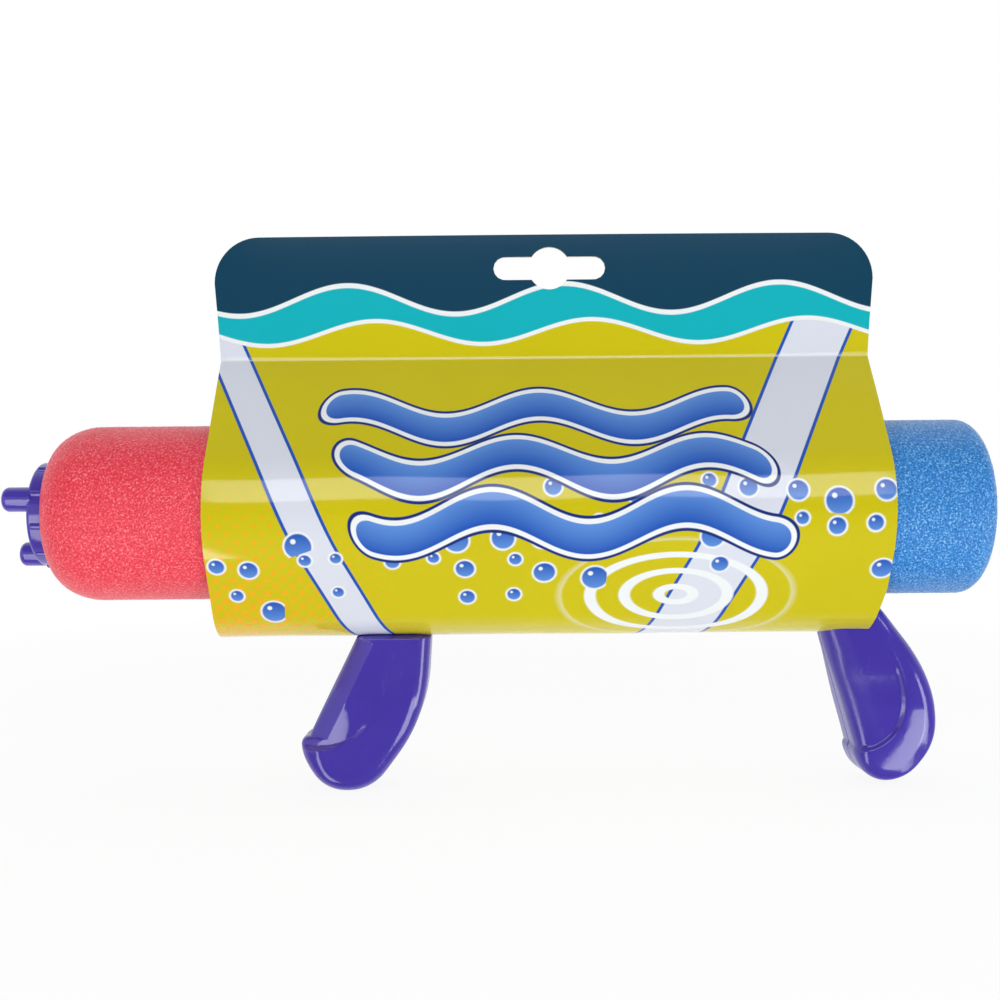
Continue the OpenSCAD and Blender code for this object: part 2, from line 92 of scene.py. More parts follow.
camera = bpy.data.objects.new("camera", bpy.data.cameras.new("camera"))
bpy.context.collection.objects.link(camera)
camera.location = VIEW_POINT
camera.rotation_euler = (math.pi / 2, VIEW_TIP, 0)
camera.data.sensor_width = SENSOR
camera.data.lens = LENS
camera.data.clip_start = NEAR_CLIP
bpy.context.scene.camera = camera
bpy.context.scene.view_settings.view_transform = "Standard"
print("camera at", [round(v / MM, 1) for v in VIEW_POINT], "mm, lens", round(LENS, 1), "mm")

# %% [markdown]
# ## Writing shaders as sums
#
# A shader is a sum, and a sum is easier to read as Python than as a picture of boxes. A Wire holds
# one output socket, and its operators add Math nodes, so that 1 - mask is written as it is said.

# %% Wires
def maths(operation, swapped=False):
    """A method of Wire that adds one Math node. Swapped, the other value goes in first."""
    def method(wire, *others):
        inputs = [*others, wire] if swapped else [wire, *others]
        return wire.paint.node("ShaderNodeMath", {"operation": operation}, inputs)
    return method


class Wire:
    """An output socket. + - * / ** on wires and plain numbers add Math nodes."""

    def __init__(self, paint, socket):
        self.paint = paint
        self.socket = socket

    __add__ = __radd__ = maths("ADD")
    __sub__, __rsub__ = maths("SUBTRACT"), maths("SUBTRACT", swapped=True)
    __mul__ = __rmul__ = maths("MULTIPLY")
    __truediv__, __rtruediv__ = maths("DIVIDE"), maths("DIVIDE", swapped=True)
    __pow__, __abs__ = maths("POWER"), maths("ABSOLUTE")
    sin, fract, most = maths("SINE"), maths("FRACT"), maths("MAXIMUM")

    def output(self, name):
        """Another output of the same node."""
        return Wire(self.paint, self.socket.node.outputs[name])

    def clamped(self):
        """The same value, held between 0 and 1."""
        return self.paint.node("ShaderNodeMath", {"operation": "ADD", "use_clamp": True}, [self, 0.0])

    def within(self, soft=0.25):
        """Reads the wire as a distance to an edge: 1 inside, 0 outside, over a soft width."""
        return (0.5 - self / soft).clamped()


print("a wire knows", [name for name in vars(Wire) if not name.startswith("_")])

# %% [markdown]
# ## Adding nodes
#
# Every other node comes from Paint.node, which takes the node's type, its settings and what goes into
# its sockets. The methods after it are the few nodes that all finishes here use. Colours are written
# as they look on a screen, and a shader needs them linear.

# %% Paint
class Paint:
    """A node tree that is being wired."""

    def __init__(self, tree):
        self.tree = tree
        tree.nodes.clear()

    def node(self, kind, settings=None, inputs=(), output=0):
        """Adds a node of that type, sets it up, fills its sockets and returns one output. Sockets go
        by name or by number."""
        made = self.tree.nodes.new(kind)
        for name, value in (settings or {}).items():
            setattr(made, name, value)
        for key, value in inputs.items() if isinstance(inputs, dict) else enumerate(inputs):
            if isinstance(value, Wire):
                self.tree.links.new(value.socket, made.inputs[key])
            else:
                made.inputs[key].default_value = value
        return Wire(self, made.outputs[output]) if made.outputs else None

    def mix(self, share, under, over):
        """Lays one colour over another. This node's sockets share names, so they go by number."""
        return self.node("ShaderNodeMix", {"data_type": "RGBA"}, {0: share, 6: under, 7: over}, output=2)

    def place(self):
        """Where the surface point is in its own piece, in metres."""
        return self.node("ShaderNodeTexCoord", output="Object")

    def grain(self):
        """The number that each point of a mesh carries as "grain", and 0 where a mesh has none."""
        return self.node("ShaderNodeAttribute", {"attribute_name": "grain"}, output="Fac")

    def noise(self, vector, scale, detail=2.0, rough=0.5):
        """Cloudy noise about 0.5, with so many clouds to the metre."""
        sockets = {"Vector": vector, "Scale": scale, "Detail": detail, "Roughness": rough}
        return self.node("ShaderNodeTexNoise", {}, sockets)

    def stretched(self, vector, x, y, z):
        """The same place with its axes scaled, for grain that runs one way."""
        return self.node("ShaderNodeVectorMath", {"operation": "MULTIPLY"}, [vector, (x, y, z)])

    def bump(self, height, depth):
        """A normal that follows a height, of which 1 stands for that depth in metres."""
        return self.node("ShaderNodeBump", {}, {"Height": height, "Distance": depth})

    def surface(self, **sockets):
        """The Principled shader with these sockets (underscores for spaces), and the output."""
        names = {name.replace("_", " "): value for name, value in sockets.items()}
        shader = self.node("ShaderNodeBsdfPrincipled", {}, names)
        self.node("ShaderNodeOutputMaterial", {}, {"Surface": shader})


def srgb(red, green, blue):
    """A screen colour, 0 to 255, as the linear colour that a shader needs."""
    share = np.array([red, green, blue]) / 255
    linear = np.where(share <= 0.04045, share / 12.92, ((share + 0.055) / 1.055) ** 2.4)
    return (*linear.tolist(), 1.0)


def new_finish(name):
    """A fresh material and the Paint that wires it."""
    material = bpy.data.materials.new(name)
    material.use_nodes = True
    return material, Paint(material.node_tree)


print("violet reads", [round(v, 3) for v in srgb(75, 60, 170)[:3]])

# %% [markdown]
# ## Floor
#
# A product like this is shot on a light table. Its top is pale, keeps a faint shadow, and lets the
# lamps below it shine through. The camera sees it as white, with a little of its matte shade in a
# pool round the object, where the shadow lies.

# %% Floor
FLOOR_Z = cad_low.z
FLOOR_HALF, FLOOR_CLOUDS = 3.0, 60.0
POOL_MIDDLE = (0.13, 0.1, FLOOR_Z)
POOL_R, POOL_SOFT, POOL_SHADE = 0.34, 0.3, 0.09


def plane(name, half, z):
    """A square in X and Y at height z."""
    mesh = bpy.data.meshes.new(name)
    corners = [(-half, -half, z), (half, -half, z), (half, half, z), (-half, half, z)]
    mesh.from_pydata(corners, [], [(0, 1, 2, 3)])
    made = bpy.data.objects.new(name, mesh)
    bpy.context.collection.objects.link(made)
    return made


def floor_finish():
    """White for rays from the camera, from gloss and through glass, with a little of the matte floor
    and its shadow in a pool round the object. Other light meets the matte floor alone."""
    material, paint = new_finish("floor")
    rays = paint.node("ShaderNodeLightPath", output="Is Camera Ray")
    seen = rays.most(rays.output("Is Glossy Ray")).most(rays.output("Is Transmission Ray"))
    place = paint.place()
    shade = paint.mix(paint.noise(place, FLOOR_CLOUDS), srgb(250, 250, 250), srgb(252, 252, 252))
    off = paint.node("ShaderNodeVectorMath", {"operation": "DISTANCE"}, [place, POOL_MIDDLE],
                     output="Value")
    shaded = (off - POOL_R).within(POOL_SOFT) * POOL_SHADE
    matte = paint.node("ShaderNodeBsdfDiffuse", {}, {"Color": shade})
    white = paint.node("ShaderNodeEmission", {}, {"Color": (1, 1, 1, 1), "Strength": 1.0})
    both = paint.node("ShaderNodeMixShader", {}, [seen * (1.0 - shaded), matte, white])
    paint.node("ShaderNodeOutputMaterial", {}, {"Surface": both})
    return material


floor = plane("floor", FLOOR_HALF, FLOOR_Z)
floor.data.materials.append(floor_finish())
floor.visible_shadow = False
floor.visible_glossy = False
floor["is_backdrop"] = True
print("floor at", round(FLOOR_Z / MM, 1), "mm")

# %% [markdown]
# ## Light tent
#
# Round the table stands a light tent: soft white on all sides, with an opening for the camera. The
# opening matters as much as the lamps, because glossy plastic that faces the camera mirrors it and so
# keeps its deep colour. The world draws the tent by direction.

# %% Light tent
BACK_WALL, FRONT_WALL, OPENING = 0.80, 0.12, 0.04
WALL_SOFT, BACK_FROM, BACK_SOFT = 0.6, 0.2, 0.2
WINDOW_HALF_W, WINDOW_HALF_H, WINDOW_UP = 0.5, 0.30, -0.12
WINDOW_AHEAD, WINDOW_SOFT = -0.2, 0.16


def tent():
    """Bright behind the object, dimmer in front, and darker still in a window about the camera. Rays
    from the camera, through glass, and from gloss to the back wall see plain white."""
    world = bpy.context.scene.world or bpy.data.worlds.new("tent")
    bpy.context.scene.world = world
    world.use_nodes = True
    paint = Paint(world.node_tree)
    rays = paint.node("ShaderNodeLightPath", output="Is Camera Ray")
    way = paint.node("ShaderNodeTexCoord", output="Generated")
    across = paint.node("ShaderNodeSeparateXYZ", {}, [way], output="X")
    ahead, up = across.output("Y"), across.output("Z")
    mirrored_back = rays.output("Is Glossy Ray") * (BACK_FROM - ahead).within(BACK_SOFT)
    seen = rays.most(rays.output("Is Transmission Ray")).most(mirrored_back)
    window = (abs(across) - WINDOW_HALF_W).most(abs(up - WINDOW_UP) - WINDOW_HALF_H)
    window = window.most(ahead - WINDOW_AHEAD).within(WINDOW_SOFT)
    walls = FRONT_WALL + (0.0 - ahead).within(WALL_SOFT) * (BACK_WALL - FRONT_WALL)
    walls = walls + window * (OPENING - FRONT_WALL)
    level = walls + seen * (1.0 - walls)
    light = paint.node("ShaderNodeBackground", {}, {"Color": (1, 1, 1, 1), "Strength": level})
    paint.node("ShaderNodeOutputWorld", {}, {"Surface": light})


tent()
print("tent walls", BACK_WALL, FRONT_WALL, "and opening", OPENING)

# %% [markdown]
# ## Lamps
#
# A highlight is the mirror image of a lamp, so five lamps are placed for the highlights on the card,
# the pegs and the handles. Two more light the foam from above and stay out of reflections.

# %% Lamps
LAMP_WAY = 0.8
# Name, target in mm, azimuth and elevation in degrees, size in m, radiance, and whether it is mirrored
LAMPS = [
    ("card_lamp", (148, 0, 0), 2, 28, (0.62, 0.40), 2.2, True),
    ("peg_lamp", (0, 0, 0), -26, -29, (0.25, 0.84), 3.3, True),
    ("rim_lamp", (240, 0, -60), 42, -27, (0.29, 0.46), 4.0, True),
    ("ridge_lamp", (90, 0, -50), 62, -4, (0.16, 0.56), 4.4, True),
    ("finger_lamp", (240, 0, -50), -60, 4, (0.80, 0.50), 0.5, True),
    ("left_top_lamp", (131, 0, 0), -75, 52, (0.50, 0.50), 1.2, False),
    ("right_top_lamp", (131, 0, 0), 75, 52, (0.50, 0.50), 1.2, False),
]


def softbox(name, target, azimuth, elevation, size, radiance, mirrored):
    """A rectangular lamp seen from its target at that azimuth, right of the camera's way, and that
    elevation. Its power is its radiance times pi times its area. Not mirrored, it stays out of
    reflections."""
    lamp = bpy.data.lights.new(name, "AREA")
    lamp.shape = "RECTANGLE"
    lamp.size, lamp.size_y = size
    lamp.energy = radiance * math.pi * size[0] * size[1]
    made = bpy.data.objects.new(name, lamp)
    bpy.context.collection.objects.link(made)
    turn, rise = math.radians(azimuth), math.radians(elevation)
    way = np.array([math.sin(turn) * math.cos(rise), -math.cos(turn) * math.cos(rise), math.sin(rise)])
    made.location = np.array(target) * MM + LAMP_WAY * way
    made.rotation_euler = (math.pi / 2 - rise, 0, turn)
    made.visible_camera = False
    made.visible_glossy = mirrored


for lamp in LAMPS:
    softbox(*lamp)
print(len(LAMPS), "lamps")

# %% [markdown]
# ## Making meshes from arrays
#
# A piece is one or more shells, and a shell is a grid of points. The grid's quads come from the
# numbers of its rows and columns. Poles and seams are closed by merging points that fall together,
# and then the normals are turned outwards. Holes that go through a wall are carved with a Boolean.

# %% Mesh helpers
MERGE, FLAT, CRISP = 2e-6, 1e-7, 35


def quads(rows, columns, ring_rows=False, ring_columns=False):
    """The quads of a grid that is numbered row by row. A ring joins its last line to its first."""
    row = np.arange(rows if ring_rows else rows - 1)[:, None]
    column = np.arange(columns if ring_columns else columns - 1)[None, :]
    next_row, next_column = (row + 1) % rows, (column + 1) % columns
    corners = [row * columns + column, row * columns + next_column,
               next_row * columns + next_column, next_row * columns + column]
    return np.stack(np.broadcast_arrays(*corners), axis=-1).reshape(-1, 4)


def shell(grid, ring_rows=False, ring_columns=False, uv=None):
    """Points in metres, quads and texture places of a grid of rows and columns in millimetres."""
    rows, columns = grid.shape[:2]
    flat_uv = np.zeros((rows * columns, 2)) if uv is None else uv.reshape(-1, 2)
    return grid.reshape(-1, 3) * MM, quads(rows, columns, ring_rows, ring_columns), flat_uv


def piece(name, shells, finish, sharp=CRISP, grain=None):
    """One object from several shells, with merged seams, outward faces and smooth shading. Edges that
    turn by more than the sharp angle, in degrees, stay crisp. A grain is one number for each point."""
    starts = np.cumsum([0] + [len(points) for points, _, _ in shells])
    points = np.concatenate([points for points, _, _ in shells])
    faces = np.concatenate([faces + start for (_, faces, _), start in zip(shells, starts)])
    uv = np.concatenate([uv for _, _, uv in shells])
    mesh = bpy.data.meshes.new(name)
    mesh.from_pydata(points.tolist(), [], faces.tolist())
    corner = np.empty(len(mesh.loops), dtype=np.int32)
    mesh.loops.foreach_get("vertex_index", corner)
    mesh.uv_layers.new(name="sheet").uv.foreach_set("vector", uv[corner].astype(np.float32).ravel())
    if grain is not None:
        carried = mesh.attributes.new("grain", "FLOAT", "POINT")
        carried.data.foreach_set("value", grain.astype(np.float32).ravel())
    made = bpy.data.objects.new(name, mesh)
    bpy.context.collection.objects.link(made)
    close(mesh)
    if finish:
        mesh.materials.append(finish)
    smooth(mesh, sharp)
    return made


def close(mesh):
    """Merges points that fall together, drops what that flattens, and turns the faces outwards."""
    work = bmesh.new()
    work.from_mesh(mesh)
    bmesh.ops.remove_doubles(work, verts=work.verts, dist=MERGE)
    bmesh.ops.dissolve_degenerate(work, edges=work.edges, dist=FLAT)
    bmesh.ops.recalc_face_normals(work, faces=work.faces)
    work.to_mesh(mesh)
    work.free()


def smooth(mesh, sharp):
    """Smooth shading, apart from edges that turn by more than that angle in degrees."""
    mesh.polygons.foreach_set("use_smooth", np.ones(len(mesh.polygons), dtype=bool))
    mesh.set_sharp_from_angle(angle=math.radians(sharp))


def carve(made, cutters, sharp=CRISP):
    """Cuts each cutter's shape out of a piece, and throws the cutters away."""
    for cutter in cutters:
        change = made.modifiers.new("carve", "BOOLEAN")
        change.operation = "DIFFERENCE"
        change.solver = "EXACT"
        change.object = cutter
        bpy.context.view_layer.update()
        cut = bpy.data.meshes.new_from_object(made.evaluated_get(bpy.context.evaluated_depsgraph_get()))
        made.modifiers.clear()
        made.data = cut
        bpy.data.objects.remove(cutter)
    smooth(made.data, sharp)


print("a grid of 3 by 4 points has", len(quads(3, 4)), "quads")

# %% [markdown]
# ## Profiles and outlines
#
# A grid is made in one of two ways: a profile is carried round an axis, as on a lathe, or a closed
# outline is drawn in step by step. An outline is a few corners with arcs between them, or a tight
# band round circles, and it is walked in even steps to get its points. Cutters for the Boolean are
# outlines too, run along an axis.

# %% Profiles and outlines
HAIR, TINY = 0.001, 1e-9
WHOLE_TURN = np.linspace(0, 2 * np.pi, 1440, endpoint=False)


def normals(profile):
    """Outward normals of a closed profile that runs clockwise: its tangent turned by a quarter."""
    along = np.roll(profile, -1, 0) - np.roll(profile, 1, 0)
    along = along / np.maximum(np.linalg.norm(along, axis=1, keepdims=True), TINY)
    return np.stack([-along[:, 1], along[:, 0]], axis=-1)


def lathe(profile, turns, line=(0.0, 0.0), swell=0.0):
    """A closed profile of x and radius, carried once round the line along X through that Y and Z:
    each point goes to y - r cos a, z + r sin a. A swell first moves it along the profile's normals."""
    angle = np.linspace(0, 2 * np.pi, turns, endpoint=False)
    lift = np.broadcast_to(swell, (len(profile), turns))
    moved = profile[:, None, :] + normals(profile)[:, None, :] * lift[..., None]
    x, radius = moved[..., 0], moved[..., 1]
    grid = np.stack([x, line[0] - radius * np.cos(angle), line[1] + radius * np.sin(angle)], axis=-1)
    return shell(grid, ring_rows=True, ring_columns=True)


def rounded(corners, radii, steps=8):
    """A closed outline with an arc at each corner. The arc touches both sides at the same distance
    from the corner, radius times the tangent of half the turn, and bulges towards it."""
    corners = np.array(corners, dtype=float)
    befores, afters = np.roll(corners, 1, 0), np.roll(corners, -1, 0)
    arcs = []
    for before, corner, after, radius in zip(befores, corners, afters, radii):
        back = (before - corner) / np.linalg.norm(before - corner)
        on = (after - corner) / np.linalg.norm(after - corner)
        half = np.arccos(np.clip(back @ on, -1, 1)) / 2
        centre = corner + (back + on) / np.linalg.norm(back + on) * radius / np.sin(half)
        first = corner + back * radius / np.tan(half) - centre
        last = corner + on * radius / np.tan(half) - centre
        share = np.linspace(0, 1, steps if radius else 1)[:, None]
        turn = np.pi - 2 * half
        blend = first * np.sin((1 - share) * turn) + last * np.sin(share * turn)
        arcs.append(centre + blend / np.sin(turn))
    return np.concatenate(arcs)


def walk(outline, count, closed=True):
    """Points at even distances along an outline."""
    line = np.vstack([outline, outline[:1]]) if closed else outline
    length = np.concatenate([[0], np.cumsum(np.linalg.norm(np.diff(line, axis=0), axis=1))])
    places = np.linspace(0, length[-1], count, endpoint=not closed)
    return np.stack([np.interp(places, length, line[:, axis]) for axis in range(line.shape[1])], axis=-1)


def band(circles, turn=WHOLE_TURN):
    """The outline of a tight band round circles, each two places and a radius: in each direction, the
    circle that reaches furthest gives the point."""
    centre, radius = np.array(circles)[:, :2], np.array(circles)[:, 2]
    ways = np.stack([np.cos(turn), np.sin(turn)], axis=-1)
    best = np.argmax(ways @ centre.T + radius, axis=1)
    return centre[best] + radius[best, None] * ways


def ease(low, high, value):
    """0 below low, 1 above high, and a smooth S between them."""
    share = np.clip((value - low) / (high - low), 0, 1)
    return share * share * (3 - 2 * share)


def prism(name, outline, low, high, axis):
    """A cutter: an outline in the two other axes, run from low to high along an axis. Its end rows
    shrink to the outline's middle, which closes it."""
    levels = np.array([low, low, high, high])[:, None]
    shrink = np.array([0.0, 1.0, 1.0, 0.0])[:, None, None]
    middle_point = outline.mean(0)
    flat = middle_point + (outline - middle_point) * shrink
    grid = np.insert(flat, axis, levels + 0 * outline[:, 0], axis=2)
    return piece(name, [shell(grid, ring_columns=True)], None)


def stadium(wide, thick, count=48):
    """A slot's outline with round ends about the origin, wide along the first axis."""
    reach = (wide - thick) / 2
    return walk(band([(-reach, 0, thick / 2), (reach, 0, thick / 2)]), count)


print("a stadium has", len(stadium(2, 1)), "points")

# %% [markdown]
# ## Violet plastic
#
# Nozzle, handles and end cap are one glossy moulding plastic. A flat colour with low roughness looks
# like a rendering, so the finish has what a real moulding shows: slow changes of depth, a fine ripple
# in the gloss (moulders call it orange peel), and rub marks from the box. The handles' side walls
# also have a fine moulded grain, which rides on their meshes as a "grain" attribute. The other
# violet pieces have none, and there it reads 0.

# %% Violet plastic
def violet_finish():
    """Clouds of two violets with paler rubs. Grain dulls the gloss and roughens the ripple."""
    material, paint = new_finish("violet_plastic")
    place = paint.place()
    clouds = paint.noise(place, scale=45.0, detail=3.0)
    peel = paint.noise(place, scale=420.0, detail=2.0)
    rubs = paint.noise(paint.stretched(place, 1.0, 1.0, 0.2), scale=700.0, detail=3.0)
    rubbed = ((rubs - 0.66) * 7.0).clamped()
    grain, fine = paint.grain(), paint.noise(place, scale=2400.0, detail=2.0)
    colour = paint.mix(clouds, srgb(66, 50, 160), srgb(76, 60, 174))
    colour = paint.mix(rubbed * 0.10, colour, srgb(150, 142, 208))
    gloss = 0.09 + clouds * 0.06 + rubbed * 0.1 + grain * 0.13
    ripple = paint.bump(peel + fine * grain * 1.4, 0.03 * MM)
    paint.surface(Base_Color=colour, Roughness=gloss, IOR=1.66, Normal=ripple)
    return material


violet = violet_finish()
print("made", violet.name)

# %% [markdown]
# ## Foam
#
# The sleeves are soft closed-cell foam with a fine pebbled skin. The pebbles are real bumps in the
# mesh, and the same numbers ride along as a "grain" attribute. The colour follows the bumps with
# painted light: painted shade deepens it in the pits and a painted highlight pales it on the tops.
# A little sheen gives the pale rim that foam has at its outline.

# %% Foam finish
def foam_finish(name, deep, body, pale):
    """A height of pebbles, fine cells and clouds. Below 0.1 the colour deepens with painted shade, and
    above 0.15 it pales with a painted highlight.
    """
    material, paint = new_finish(name)
    place = paint.place()
    grain = paint.grain()
    cells = paint.noise(place, scale=1900.0, detail=2.0, rough=0.6)
    clouds = paint.noise(place, scale=60.0, detail=3.0)
    height = grain * 0.2 + (cells - 0.5) * 5.0 + (clouds - 0.5) * 0.3
    # Painted shade: the deep colour fills the low places of the height.
    colour = paint.mix((0.1 - height).clamped(), body, deep)
    # Painted highlight: the pale colour lies on the high places of the height.
    colour = paint.mix((height - 0.15).clamped(), colour, pale)
    pores = paint.bump(cells + grain * 0.05, 0.25 * MM)
    paint.surface(Base_Color=colour, Roughness=0.24 + cells * 0.16, Specular_IOR_Level=0.6,
                  Sheen_Weight=0.02, Sheen_Roughness=0.4, Normal=pores)
    return material


# Each foam: a deep colour for painted shade in the pits, its body colour, and a pale colour for painted
# highlight on the tops.
red_foam = foam_finish("red_foam", srgb(214, 30, 52), srgb(240, 54, 74), srgb(250, 140, 152))
blue_foam = foam_finish("blue_foam", srgb(6, 92, 174), srgb(22, 132, 212), srgb(150, 206, 242))
print("made", red_foam.name, blue_foam.name)

# %% [markdown]
# ## Foam sleeves
#
# Each sleeve is a tube cut from thick foam stock with its ends rounded over, a round nose at the
# front and a softer tail. Turning a profile on a lathe gives the tube. The pebbled skin is seeded
# noise of which only the waves near 1 mm are kept: its Fourier transform is multiplied by a soft
# band, which leaves bumps of one size with no direction. The sleeve is slit underneath so that it
# can be pulled over a handle's neck, and the neck's room is carved out.

# %% Foam sleeves
front_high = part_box("front_foam_sleeve")[1]
rear_low, rear_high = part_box("rear_foam_sleeve")
FOAM_R = front_high.y / MM
FOAM_BORE_R = 14.1
NOSE_BACK, NOSE_STRETCH = 4.5, 1.35
NOSE_R, TAIL_R, MEET_R = 10.0, 5.0, 2.0
RING_L, RING_R = 6.5, 14.8
RIB_H = 0.7
FOAM_ROOM = 0.3
SKIN = 0.35
PEBBLE, PEBBLE_H, PEBBLE_BAND, PEBBLE_TOP = 1.05, 0.05, 0.45, 2
PEBBLE_FADE = (FOAM_BORE_R + 1.6, FOAM_BORE_R + 4)
GRID, ARC_STEPS, BORE_ROWS, COLLAR_STEPS = 0.5, 40, 24, 96
NECK_W, NECK_T = 17.4, 9.0
COLLAR_R, COLLAR_L = 16.2, 18.0
SLIT_W, SLIT_PAST = 0.8, 3
CUT_IN, CUT_PAST = 4, 2
FOAM_SHARP = 60
FRONT_NECK_X, REAR_NECK_X = 103.4, 227.4


def pebbles(rows, columns, seed):
    """Bumps of one size: white noise, kept only near the wave length PEBBLE on a grid of step GRID."""
    noise = np.random.default_rng(seed).standard_normal((rows, columns))
    waves = np.hypot(np.fft.fftfreq(rows)[:, None], np.fft.fftfreq(columns)[None, :])
    keep = np.exp(-((waves - GRID / PEBBLE) / (PEBBLE_BAND * GRID / PEBBLE)) ** 2)
    bumps = np.fft.ifft2(np.fft.fft2(noise) * keep).real
    return np.clip(bumps / bumps.std(), -PEBBLE_TOP, PEBBLE_TOP)


def foam_sleeve(name, finish, ends, rounds, mouth, seed):
    """A tube between two ends. Skin and ends follow one line of even steps and swell by the pebbles,
    and the bore closes the profile. The mouth is the depth and radius of the nozzle's seat, and an
    end that has one is stretched to a longer nose."""
    (start, end), (first_r, last_r) = ends, rounds
    top = FOAM_R + SKIN
    line = rounded([(start, FOAM_BORE_R), (start, top), (end, top), (end, FOAM_BORE_R)],
                   [0, first_r, last_r, 0], steps=ARC_STEPS)
    if mouth:
        nose = line[:, 0] - start <= first_r + HAIR
        line[nose, 0] = start + (line[nose, 0] - start) * NOSE_STRETCH
        deep, wide = mouth
        keep = (line[:, 1] >= wide) | (line[:, 0] > deep)
        line = np.vstack([[(deep, FOAM_BORE_R), (deep, wide)], line[keep]])
    length = np.linalg.norm(np.diff(line, axis=0), axis=1).sum()
    skin = walk(line, int(length / GRID), closed=False)
    bore = walk(np.array([skin[-1], skin[0]]), BORE_ROWS, closed=False)[1:-1]
    profile = np.vstack([skin, bore])
    turns = int(2 * np.pi * FOAM_R / GRID)
    bumps = np.zeros((len(profile), turns))
    bumps[:len(skin)] = pebbles(len(skin), turns, seed)
    bumps = bumps * ease(*PEBBLE_FADE, profile[:, 1:])
    tube = lathe(profile, turns, swell=PEBBLE_H * bumps)
    return piece(name, [tube], finish, sharp=FOAM_SHARP, grain=bumps)


def handle_room(neck_x, slit_end):
    """Cutters for a handle: its collar's seat, its neck and the slit to the sleeve's end."""
    half, seat_r, slit_half = COLLAR_L / 2 + FOAM_ROOM, COLLAR_R + FOAM_ROOM, SLIT_W / 2
    front, back = neck_x - half, neck_x + half
    seat = np.array([(front, 0), (front, seat_r), (back, seat_r), (back, 0)])
    neck = stadium(NECK_W + 2 * FOAM_ROOM, NECK_T + 2 * FOAM_ROOM) + (neck_x, 0)
    start, end = sorted([neck_x, slit_end])
    slit = np.array([(start, -slit_half), (end, -slit_half), (end, slit_half), (start, slit_half)])
    deep, past = -(FOAM_BORE_R - CUT_IN), -(FOAM_R + CUT_PAST)
    return [piece("seat_cutter", [lathe(seat, COLLAR_STEPS)], None),
            prism("neck_cutter", neck, past, deep, axis=2),
            prism("slit_cutter", slit, past, deep, axis=2)]


front_end, rear_start, rear_end = front_high.x / MM, rear_low.x / MM, rear_high.x / MM
mouth = (RING_L + FOAM_ROOM, RING_R + RIB_H + FOAM_ROOM)
front_foam = foam_sleeve("front_foam", red_foam, (NOSE_BACK, front_end), (NOSE_R, MEET_R), mouth, seed=11)
rear_foam = foam_sleeve("rear_foam", blue_foam, (rear_start, rear_end), (MEET_R, TAIL_R), None, seed=12)
carve(front_foam, handle_room(FRONT_NECK_X, front_end + SLIT_PAST), sharp=FOAM_SHARP)
carve(rear_foam, handle_room(REAR_NECK_X, rear_start - SLIT_PAST), sharp=FOAM_SHARP)
for sleeve, node, slot, body in [(front_foam, "front_foam_sleeve", "red_foam", "barrel_half"),
                                 (rear_foam, "rear_foam_sleeve", "blue_foam", "plunger_half")]:
    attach(sleeve, body)
    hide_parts(node)
    print(sleeve.name, len(sleeve.data.polygons), "faces")

# %% [markdown]
# ## Nozzle
#
# The cap is one moulding: a ring with small ribs for the fingers, the jet in its middle and three
# pegs that keep the jet off the bottom of a pool. All of it is round, so every shell comes off the
# lathe: the ring about the pump's axis, pegs and ribs about lines beside it.

# %% Nozzle
JET_R = 1.75
FACE_T = 4.0
RING_ROUND, RIM_ROUND, JET_ROUND = 1.1, 0.4, 0.3
SPIGOT_R, SPIGOT_WALL = 11.9, 4.0
SPIGOT_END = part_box("nozzle_cap")[1].x / MM
PEGS, PEG_R, PEG_L, PEG_ROUND, PEG_CIRCLE = 3, 3.45, 7.3, 1.8, 11.7
RIBS, RIB_R, RIB_ROUND, RIB_END_ROUND = 10, 1.0, 0.5, 0.2
PEG_ANGLE, RIB_ANGLE = math.radians(21), math.radians(23)
RING_STEPS, PEG_STEPS, RIB_STEPS = 160, 64, 24


def pin_shape(start, end, radius, round_start, round_end):
    """A closed profile of a round pin: out from the axis, along, and back, with rounded rims."""
    corners = [(start, 0), (start, radius), (end, radius), (end, 0)]
    return rounded(corners, [0, round_start, round_end, 0], steps=10)


def around(count, circle, first):
    """Lines along X, evenly round the axis from a first angle above the near side."""
    turns = first + 2 * np.pi * np.arange(count) / count
    return [(-circle * math.cos(turn), circle * math.sin(turn)) for turn in turns]


def nozzle():
    """The ring's profile round the axis, with the spigot behind it, and pins for the pegs and ribs."""
    spigot_in = SPIGOT_R - SPIGOT_WALL
    ring = rounded([(0, JET_R), (0, RING_R), (RING_L, RING_R), (RING_L, SPIGOT_R), (SPIGOT_END, SPIGOT_R),
                    (SPIGOT_END, spigot_in), (FACE_T, spigot_in), (FACE_T, JET_R)],
                   [RIM_ROUND, RING_ROUND, RIM_ROUND, 0, RIM_ROUND, RIM_ROUND, RIM_ROUND, JET_ROUND])
    shells = [lathe(ring, RING_STEPS)]
    peg = pin_shape(-PEG_L, RING_ROUND, PEG_R, PEG_ROUND, 0)
    shells += [lathe(peg, PEG_STEPS, line) for line in around(PEGS, PEG_CIRCLE, PEG_ANGLE)]
    rib = pin_shape(RING_ROUND, RING_L, RIB_R, RIB_ROUND, RIB_END_ROUND)
    shells += [lathe(rib, RIB_STEPS, line) for line in around(RIBS, RING_R + RIB_H - RIB_R, RIB_ANGLE)]
    return piece("nozzle", shells, violet, sharp=40)


nozzle_piece = nozzle()
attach(nozzle_piece, "barrel_half")
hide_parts("nozzle_cap")
print("nozzle", len(nozzle_piece.data.polygons), "faces")

# %% [markdown]
# ## Handles
#
# A handle is two moulded halves that meet in the pump's upright plane: a flat neck that comes out
# of the foam, a belly that fills the palm, and a round pommel with a small lip. Seen from the side
# its outline is a few straight lines with wide arcs between them. Both handles follow one recipe,
# and a dict holds the measures of each.

